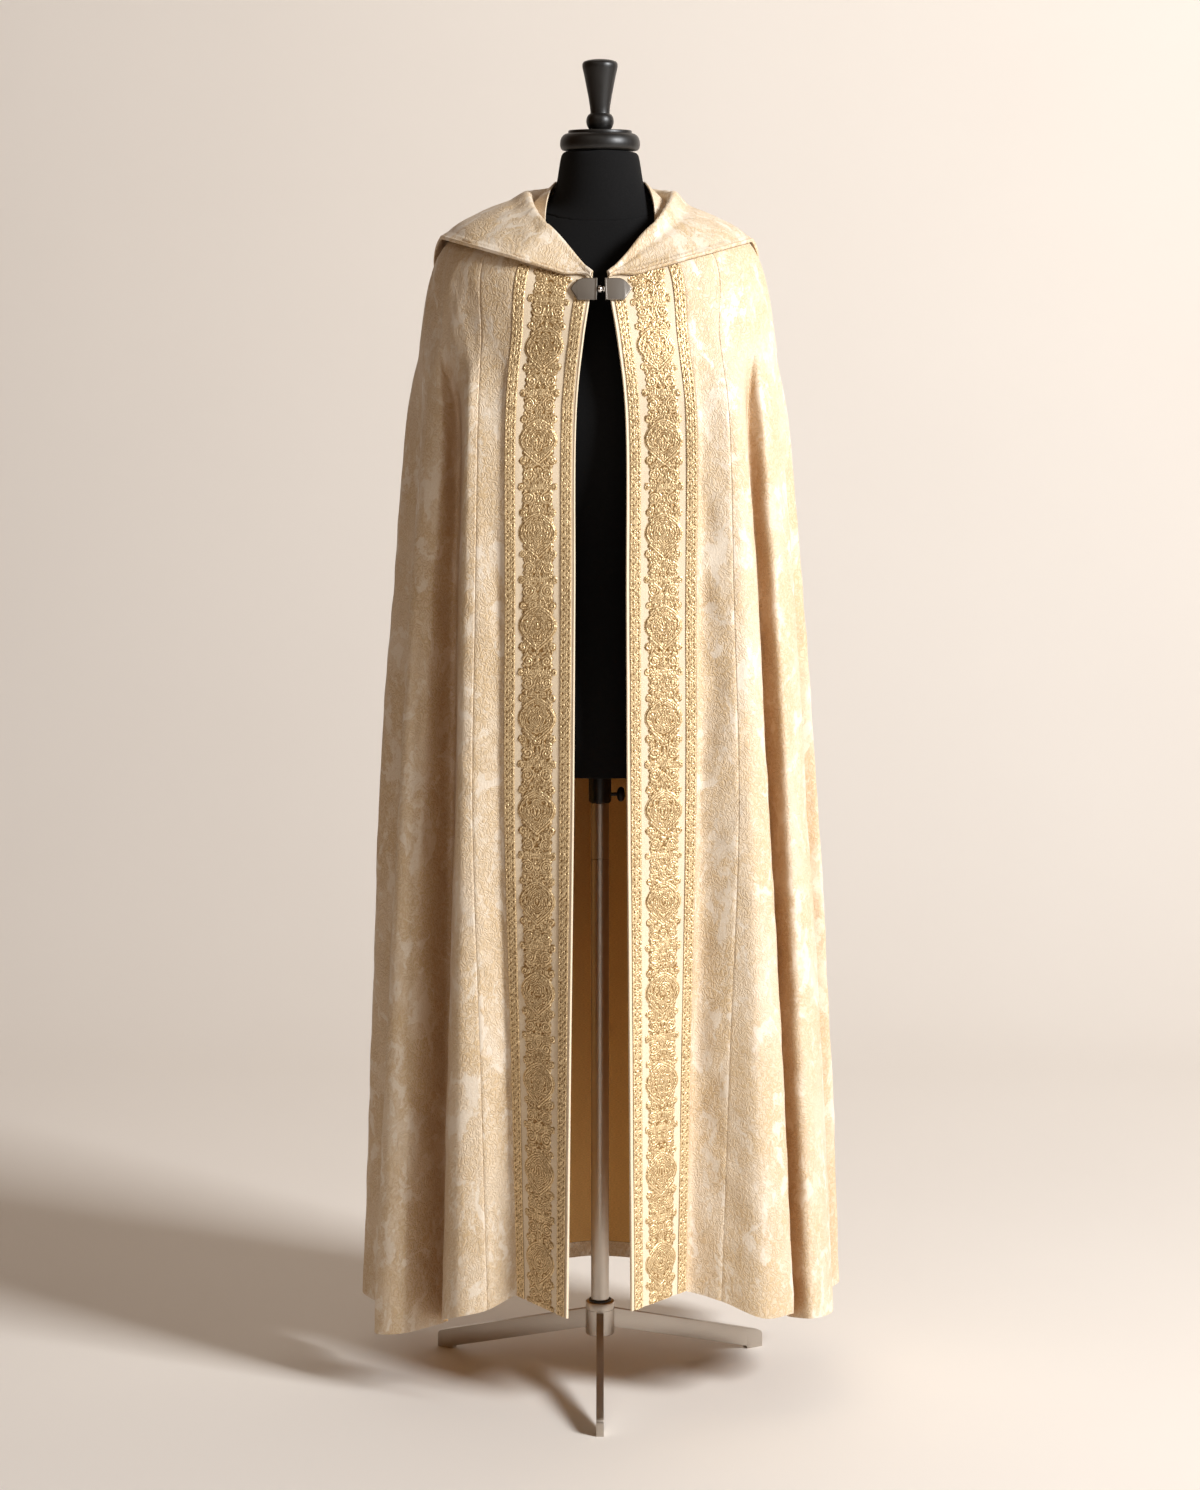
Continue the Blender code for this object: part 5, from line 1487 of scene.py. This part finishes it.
def make_torso():
    """Torso of the dress form: the packed solid's faces, joined, rounded and stitched round the
    foot of the neck."""
    begin()
    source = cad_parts["form_torso"]
    piece = bpy.data.objects.new("dress_form", source.data.copy())
    piece.matrix_world = source.matrix_world
    bpy.context.scene.collection.objects.link(piece)
    piece.select_set(True)
    bpy.context.view_layer.objects.active = piece
    bpy.ops.object.mode_set(mode="EDIT")
    bpy.ops.mesh.select_all(action="SELECT")
    bpy.ops.mesh.remove_doubles(threshold=1e-5)
    bpy.ops.mesh.tris_convert_to_quads(face_threshold=math.radians(50), shape_threshold=math.radians(60))
    pick(piece, lambda co: co.z < FORM_FOOT)
    bpy.ops.transform.edge_crease(value=0.9)
    bpy.ops.object.mode_set(mode="OBJECT")
    smooth = piece.modifiers.new("rounded", "SUBSURF")
    smooth.levels = 3
    smooth.render_levels = 3
    hard_piece(piece, "form", "form_torso", black_cloth_material(), 40)
    bpy.ops.object.mode_set(mode="EDIT")
    front = Vector((AXIS[0], AXIS[1] - NECK_SEAM_DEPTH, NECK_SEAM_FRONT))
    for shift in (-NECK_SEAM_HALF, NECK_SEAM_HALF, 0.0):
        bpy.ops.mesh.select_all(action="SELECT")
        bpy.ops.mesh.bisect(plane_co=front + Vector((0.0, 0.0, shift)), plane_no=NECK_SEAM_TILT)
    bpy.ops.transform.resize(
        value=(NECK_SEAM_DRAW, NECK_SEAM_DRAW, 1.0),
        center_override=(AXIS[0], AXIS[1], NECK_SEAM_FRONT))
    bpy.ops.object.mode_set(mode="OBJECT")
    return piece


def place_on_axis(piece):
    """Puts a piece on the pole's axis."""
    piece.location = (AXIS[0], AXIS[1], 0.0)
    return piece


def make_turned_piece(name, profile, body, node, material, loop=False):
    """A finished piece turned round the pole's axis."""
    piece = place_on_axis(turned(name, profile, loop))
    return hard_piece(piece, body, node, material, 38)


def make_bracket():
    """Clamp under the form, rounded at its foot and drilled for the screw."""
    piece = place_on_axis(turned("slide_bracket", BRACKET_PROFILE, loop=True))
    drill = turned("screw_drill", DRILL_PROFILE)
    drill.rotation_euler = (0.0, math.pi / 2, 0.0)
    drill.location = (AXIS[0], AXIS[1], SCREW_HEIGHT)
    settle(drill, black_wood_material())
    hole = piece.modifiers.new("screw_hole", "BOOLEAN")
    hole.operation = "DIFFERENCE"
    hole.object = drill
    hard_piece(piece, "form", "bracket", black_wood_material(), 38)
    bpy.data.objects.remove(drill, do_unlink=True)
    return piece


def make_thumbscrew():
    """Screw with a flattened oval knob, driven in from the right."""
    piece = turned("knob_screw", SCREW_PROFILE)
    pick(piece, lambda co: math.hypot(co.x, co.y) > SCREW_STEM + 0.3 * MM)
    bpy.ops.transform.resize(value=(1.0, SCREW_FLATNESS, 1.0), center_override=(0.0, 0.0, 0.0))
    bpy.ops.object.mode_set(mode="OBJECT")
    piece.rotation_euler = (0.0, math.pi / 2, 0.0)
    piece.location = (AXIS[0], AXIS[1], SCREW_HEIGHT)
    return hard_piece(piece, "thumbscrew", "thumbscrew", black_wood_material(), 38)


def make_leg(tag, heading):
    """Flat bar on edge, with softened edges and a pad notched under its tip."""
    piece = bar("stand_leg_" + tag, LEG_STATIONS, LEG_THICKNESS)
    pick(piece, lambda co: True)
    bpy.ops.transform.translate(value=(0.0, 0.0, -LEG_THICKNESS / 2))
    bpy.ops.object.mode_set(mode="OBJECT")
    piece.location = (AXIS[0], AXIS[1], 0.0)
    piece.rotation_euler = (math.pi / 2, 0.0, math.radians(heading))
    add_bevel(piece, 0.9 * MM, 3)
    return hard_piece(piece, "stand", "leg_" + tag, leg_steel(), 32)


def make_plate(side, tag):
    """Pointed clasp plate with a bevelled face and a raised flange at its inner end."""
    piece = bar("clasp_" + tag, PLATE_STATIONS, PLATE_THICKNESS - PLATE_CHAMFER)
    pick(piece, lambda co: co.z > 0.5 * MM)
    bpy.ops.mesh.extrude_region_move(TRANSFORM_OT_translate={"value": (0.0, 0.0, PLATE_CHAMFER)})
    bpy.ops.transform.resize(value=PLATE_FACE, center_override=(0.0, 0.0, 0.0))
    bpy.ops.object.mode_set(mode="OBJECT")
    add_bevel(piece, 0.25 * MM, 2)
    begin()
    bpy.ops.mesh.primitive_cube_add(size=1.0, location=(FLANGE_WIDTH / 2, 0.0, FLANGE_HEIGHT / 2))
    flange = named("flange_" + tag)
    flange.scale = (FLANGE_WIDTH, FLANGE_LENGTH, FLANGE_HEIGHT)
    bpy.ops.object.transform_apply(location=True, rotation=False, scale=True)
    add_bevel(flange, 0.5 * MM, 3)
    bpy.ops.object.modifier_apply(modifier="bevel")
    begin()
    piece.select_set(True)
    bpy.context.view_layer.objects.active = piece
    bpy.ops.object.modifier_apply(modifier="bevel")
    flange.select_set(True)
    bpy.ops.object.join()
    if side < 0:
        pick(piece, lambda co: True)
        bpy.ops.transform.resize(value=(-1.0, 1.0, 1.0), center_override=(0.0, 0.0, 0.0))
        bpy.ops.object.mode_set(mode="OBJECT")
    inner = CLASP_CENTRE + side * PLATE_SPACING / 2
    piece.rotation_mode = "QUATERNION"
    turn = Euler((CLASP_PITCH, 0.0, side * CLASP_YAW)).to_quaternion()
    piece.rotation_quaternion = turn @ Euler((math.pi / 2, 0.0, 0.0)).to_quaternion()
    piece.location = (AXIS[0] + inner, AXIS[1] + CLASP_DEPTH, CLASP_HEIGHT)
    return hard_piece(piece, "form", "clasp_plate_" + tag, clasp_steel(), 28)


def make_link():
    """Barrel with a waist that joins the two plates."""
    piece = turned("link_barrel", LINK_PROFILE)
    piece.rotation_euler = (0.0, math.pi / 2, 0.0)
    piece.location = (AXIS[0] + CLASP_CENTRE, AXIS[1] + CLASP_DEPTH - PLATE_THICKNESS / 2, CLASP_HEIGHT)
    return hard_piece(piece, "form", "clasp_link", bright_steel(), 30)


# ----------------------------------------------------------------------------- settings

def colour_setting(label, description, default):
    """Setting for a colour."""
    return FloatVectorProperty(
        name=label, description=description, default=default, min=0.0, max=1.0, subtype="COLOR")


def power_setting(label, description, default):
    """Setting for a lamp's power, in watts."""
    return FloatProperty(name=label, description=description, default=default, min=0.0)


class CopeSizes(PropertyGroup):
    cloth_step: FloatProperty(
        name="Cloth step", description="Width of the panels' smallest facets",
        default=6.0 * MM, min=3.0 * MM, max=30.0 * MM, unit="LENGTH")
    cloth_wall: FloatProperty(
        name="Cloth thickness", description="Thickness of the brocade and its lining together",
        default=1.8 * MM, min=1.0 * MM, max=3.0 * MM, unit="LENGTH")
    stitch_step: FloatProperty(
        name="Stitch step", description="Width of the embroidery's smallest facets",
        default=0.9 * MM, min=0.8 * MM, max=4.0 * MM, unit="LENGTH")


class CopeColours(PropertyGroup):
    brocade_ground: colour_setting(
        "Brocade ground", "Ivory of the brocade's duller ground", (0.84, 0.70, 0.53))
    brocade_satin: colour_setting(
        "Brocade satin", "Paler satin of the woven figures", (0.97, 0.91, 0.81))
    brocade_gold: colour_setting(
        "Brocade gold", "Gold weft that shows through the brocade", (0.60, 0.39, 0.15))
    # Painted shade: this tint multiplies the brocade's colour deep between its folds.
    fold: colour_setting(
        "Fold", "Tint of the brocade deep between two folds", (0.50, 0.30, 0.12))
    band: colour_setting(
        "Band ground", "Pinkish cream under the embroidery", (0.86, 0.72, 0.53))
    # Painted light and shade of the gold thread: the lit colour goes on its ridges, the dark gap colour
    # between them.
    thread: colour_setting(
        "Gold thread", "Lit face of the couched gold thread", (1.0, 0.775, 0.45))
    thread_gap_shade: colour_setting(
        "Thread gaps", "Darker gold between the threads", (0.31, 0.165, 0.045))
    lining: colour_setting(
        "Lining", "Ochre of the lining", (0.86, 0.53, 0.18))
    steel: colour_setting(
        "Steel", "Brushed steel of the stand", (0.60, 0.54, 0.47))
    clasp: colour_setting(
        "Clasp steel", "Darkened steel of the clasp plates", (0.46, 0.41, 0.36))


class StageSettings(PropertyGroup):
    key_power: power_setting(
        "Key power", "Power of the large soft lamp at the right", 580.0)
    fill_power: power_setting(
        "Fill power", "Power of the weak lamp at the left", 0.5)
    top_power: power_setting(
        "Top power", "Power of the wide lamp over the floor", 22.0)
    backdrop_power: power_setting(
        "Backdrop power", "Power of the lamp over the backdrop", 19.0)
    ambient: FloatProperty(
        name="Ambient", description="Strength of the light from all round", default=0.08, min=0.0)
    floor: colour_setting(
        "Floor", "Colour of the floor and backdrop", (0.85, 0.80, 0.74))
    distance: FloatProperty(
        name="Camera distance", description="Camera in front of the pole's axis",
        default=4.6187, min=0.5, unit="LENGTH")
    height: FloatProperty(
        name="Camera height", description="Camera above the floor", default=1.4914, min=0.0, unit="LENGTH")
    tilt: FloatProperty(
        name="Camera tilt", description="Angle of the camera down from level",
        default=math.radians(7.439), subtype="ANGLE", unit="ROTATION")


# ----------------------------------------------------------------------------- operators

def sizes_of(context):
    """The cope's sizes in the scene's settings."""
    return context.scene.cope_sizes


class VESTMENT_OT_panels(Operator):
    """Front, side and back panels of each half of the cope"""
    bl_idname = "vestment.panels"
    bl_label = "Cope panels"

    def execute(self, context):
        for name, start, end in PANELS:
            make_panel(name, start, end, sizes_of(context))
        return {"FINISHED"}


class VESTMENT_OT_orphreys(Operator):
    """Bands down the front edges with their braids and gold embroidery"""
    bl_idname = "vestment.orphreys"
    bl_label = "Orphreys"

    def execute(self, context):
        sizes = sizes_of(context)
        for side, tag in ((-1, "left"), (1, "right")):
            band, grid = make_orphrey(side, tag)
            laid_on = [
                make_braid(side, "inner_" + tag, EDGE_MARGIN),
                make_braid(side, "outer_" + tag, BAND_WIDTH - BRAID_WIDTH - SEAM_GAP),
                make_embroidery(side, tag, sizes),
            ]
            finish_cloth(band, ["orphrey_" + tag])
        return {"FINISHED"}


class VESTMENT_OT_hood(Operator):
    """Two halves of the hood and the collar inside it"""
    bl_idname = "vestment.hood"
    bl_label = "Hood and collar"

    def execute(self, context):
        for side, tag in ((-1, "left"), (1, "right")):
            make_hood(side, tag, sizes_of(context))
        make_collar()
        return {"FINISHED"}


class VESTMENT_OT_inside(Operator):
    """Lining of the back and the band turned up inside its hem"""
    bl_idname = "vestment.inside"
    bl_label = "Lining and hem facing"

    def execute(self, context):
        sizes = sizes_of(context)
        line = cloth_points([BACK_COLUMN], [HEM - 1.0, HEM])[:, 0]
        band_top = HEM - HEM_BAND / np.linalg.norm(line[1] - line[0])
        make_inside("lining_back", LINING_TOP, band_top - 0.002, lining_material(), sizes)
        make_inside("hem_facing_back", band_top, HEM, brocade_material(), sizes)
        return {"FINISHED"}


class VESTMENT_OT_form(Operator):
    """Dress form, its neck cap and finial"""
    bl_idname = "vestment.form"
    bl_label = "Dress form"

    def execute(self, context):
        wood = black_wood_material()
        make_torso()
        make_turned_piece("cap_of_neck", CAP_PROFILE, "form", "neck_cap", wood)
        make_turned_piece("top_finial", FINIAL_PROFILE, "form", "finial", wood)
        return {"FINISHED"}


class VESTMENT_OT_stand(Operator):
    """Bracket, thumbscrew, pole, hub, ring and three legs"""
    bl_idname = "vestment.stand"
    bl_label = "Stand"

    def execute(self, context):
        wood, steel = black_wood_material(), stand_steel()
        make_bracket()
        make_thumbscrew()
        make_turned_piece("stand_pole", POLE_PROFILE, "stand", "pole", steel)
        make_turned_piece("stand_hub", HUB_PROFILE, "stand", "hub", steel)
        make_turned_piece("dust_ring", RING_PROFILE, "stand", "pole_ring", wood, loop=True)
        for tag, heading in LEG_HEADINGS:
            make_leg(tag, heading)
        return {"FINISHED"}


class VESTMENT_OT_clasp(Operator):
    """Two plates and the link that fastens them"""
    bl_idname = "vestment.clasp"
    bl_label = "Clasp"

    def execute(self, context):
        make_plate(-1, "left")
        make_plate(1, "right")
        make_link()
        return {"FINISHED"}


def area_lamp(name, place, aim, size, power, colour):
    """Rectangular lamp at a place, turned to face its aim."""
    lamp = bpy.data.lights.new(name, "AREA")
    lamp.shape = "RECTANGLE"
    lamp.size, lamp.size_y = size
    lamp.energy = power
    lamp.color = colour
    made = bpy.data.objects.new(name, lamp)
    made.location = place
    made.rotation_euler = (Vector(aim) - Vector(place)).to_track_quat("-Z", "Y").to_euler()
    bpy.context.scene.collection.objects.link(made)
    return made


@once("materials", "warm_floor")
def floor_material(name):
    """Matt floor, clear from behind and from below, so that it never hides the object."""
    made, shade, shader = new_material(name, 0.75)
    tint = bpy.context.scene.stage_settings.floor
    mottle = shade.noise(shade.add("ShaderNodeTexCoord").outputs["Object"], 1.4, 2.0)
    base = shade.mix(mottle, rgba(tint, FLOOR_DARK), rgba(tint))
    away = shade.add("ShaderNodeNewGeometry").outputs["Backfacing"]
    shade.feed(shader, Base_Color=base, Alpha=shade.math("SUBTRACT", 1.0, away))
    return made


def make_floor():
    """Floor that curves up into the backdrop, with its faces towards the object."""
    bpy.ops.object.select_all(action="DESELECT")
    bpy.ops.mesh.primitive_plane_add(size=1.0, location=FLOOR_MIDDLE)
    floor = named("floor")
    floor.scale = FLOOR_SIZE
    bpy.ops.object.transform_apply(location=True, rotation=True, scale=True)
    bpy.ops.object.mode_set(mode="EDIT")
    bpy.ops.mesh.select_mode(type="EDGE")
    bpy.ops.mesh.select_all(action="DESELECT")
    bpy.ops.object.mode_set(mode="OBJECT")
    for edge in floor.data.edges:
        edge.select = all(floor.data.vertices[v].co.y > FLOOR_BACK for v in edge.vertices)
    bpy.ops.object.mode_set(mode="EDIT")
    bpy.ops.mesh.extrude_edges_move(TRANSFORM_OT_translate={"value": (0.0, 0.0, WALL_HEIGHT)})
    bpy.ops.object.mode_set(mode="OBJECT")
    add_bevel(floor, WALL_CURVE, 16, 45)
    settle(floor, floor_material(), 60)
    bpy.ops.object.mode_set(mode="EDIT")
    bpy.ops.mesh.select_all(action="SELECT")
    bpy.ops.mesh.flip_normals()
    bpy.ops.object.mode_set(mode="OBJECT")


def make_world(stage):
    """Faint warm light from all round; the camera sees the backdrop's colour instead."""
    world = bpy.data.worlds.new("studio")
    world.use_nodes = True
    sky = Shade(world.node_tree)
    looked_at = sky.add("ShaderNodeLightPath").outputs["Is Camera Ray"]
    glow = rgba([part * stage.ambient for part in GLOW_TINT])
    colour = sky.mix(looked_at, glow, rgba(stage.floor))
    sky.feed(world.node_tree.nodes["Background"], Color=colour)
    bpy.context.scene.world = world


def make_camera(stage):
    """Camera straight in front of the pole, tilted down."""
    camera = bpy.data.cameras.new("camera")
    camera.lens = LENS
    camera.sensor_width = SENSOR
    eye = bpy.data.objects.new("camera", camera)
    eye.location = (AXIS[0], AXIS[1] - stage.distance, stage.height)
    eye.rotation_euler = (math.radians(90.0) - stage.tilt, 0.0, 0.0)
    bpy.context.scene.collection.objects.link(eye)
    bpy.context.scene.camera = eye


class VESTMENT_OT_stage(Operator):
    """Floor and backdrop, lamps and camera"""
    bl_idname = "vestment.stage"
    bl_label = "Stage"

    def execute(self, context):
        stage = context.scene.stage_settings
        make_floor()
        for name, place, aim, size, colour in LAMPS:
            area_lamp(name, place, aim, size, getattr(stage, name + "_power"), colour)
        make_world(stage)
        context.scene.view_settings.view_transform = "Standard"
        make_camera(stage)
        return {"FINISHED"}


class VESTMENT_PT_panel(Panel):
    """Lists the pieces in the order in which they are built"""
    bl_label = "Cope"
    bl_idname = "VESTMENT_PT_panel"
    bl_space_type = "VIEW_3D"
    bl_region_type = "UI"
    bl_category = "Cope"

    def draw(self, context):
        for operator in OPERATORS:
            self.layout.operator(operator.bl_idname)


OPERATORS = (
    VESTMENT_OT_panels,
    VESTMENT_OT_orphreys,
    VESTMENT_OT_hood,
    VESTMENT_OT_inside,
    VESTMENT_OT_form,
    VESTMENT_OT_stand,
    VESTMENT_OT_clasp,
    VESTMENT_OT_stage,
)
GROUPS = (
    (CopeSizes, "cope_sizes"),
    (CopeColours, "cope_colours"),
    (StageSettings, "stage_settings"),
)


def register():
    """Registers the settings, the operators and the panel."""
    for group, name in GROUPS:
        bpy.utils.register_class(group)
        setattr(bpy.types.Scene, name, PointerProperty(type=group))
    for operator in OPERATORS:
        bpy.utils.register_class(operator)
    bpy.utils.register_class(VESTMENT_PT_panel)


def unregister():
    """Takes the panel, the operators and the settings away again."""
    bpy.utils.unregister_class(VESTMENT_PT_panel)
    for operator in reversed(OPERATORS):
        bpy.utils.unregister_class(operator)
    for group, name in reversed(GROUPS):
        delattr(bpy.types.Scene, name)
        bpy.utils.unregister_class(group)


def main():
    """Builds every piece in order and writes the sizes."""
    register()
    bpy.ops.vestment.panels()
    bpy.ops.vestment.orphreys()
    bpy.ops.vestment.hood()
    bpy.ops.vestment.inside()
    bpy.ops.vestment.form()
    bpy.ops.vestment.stand()
    bpy.ops.vestment.clasp()
    bpy.ops.vestment.stage()


if __name__ == "__main__":
    main()
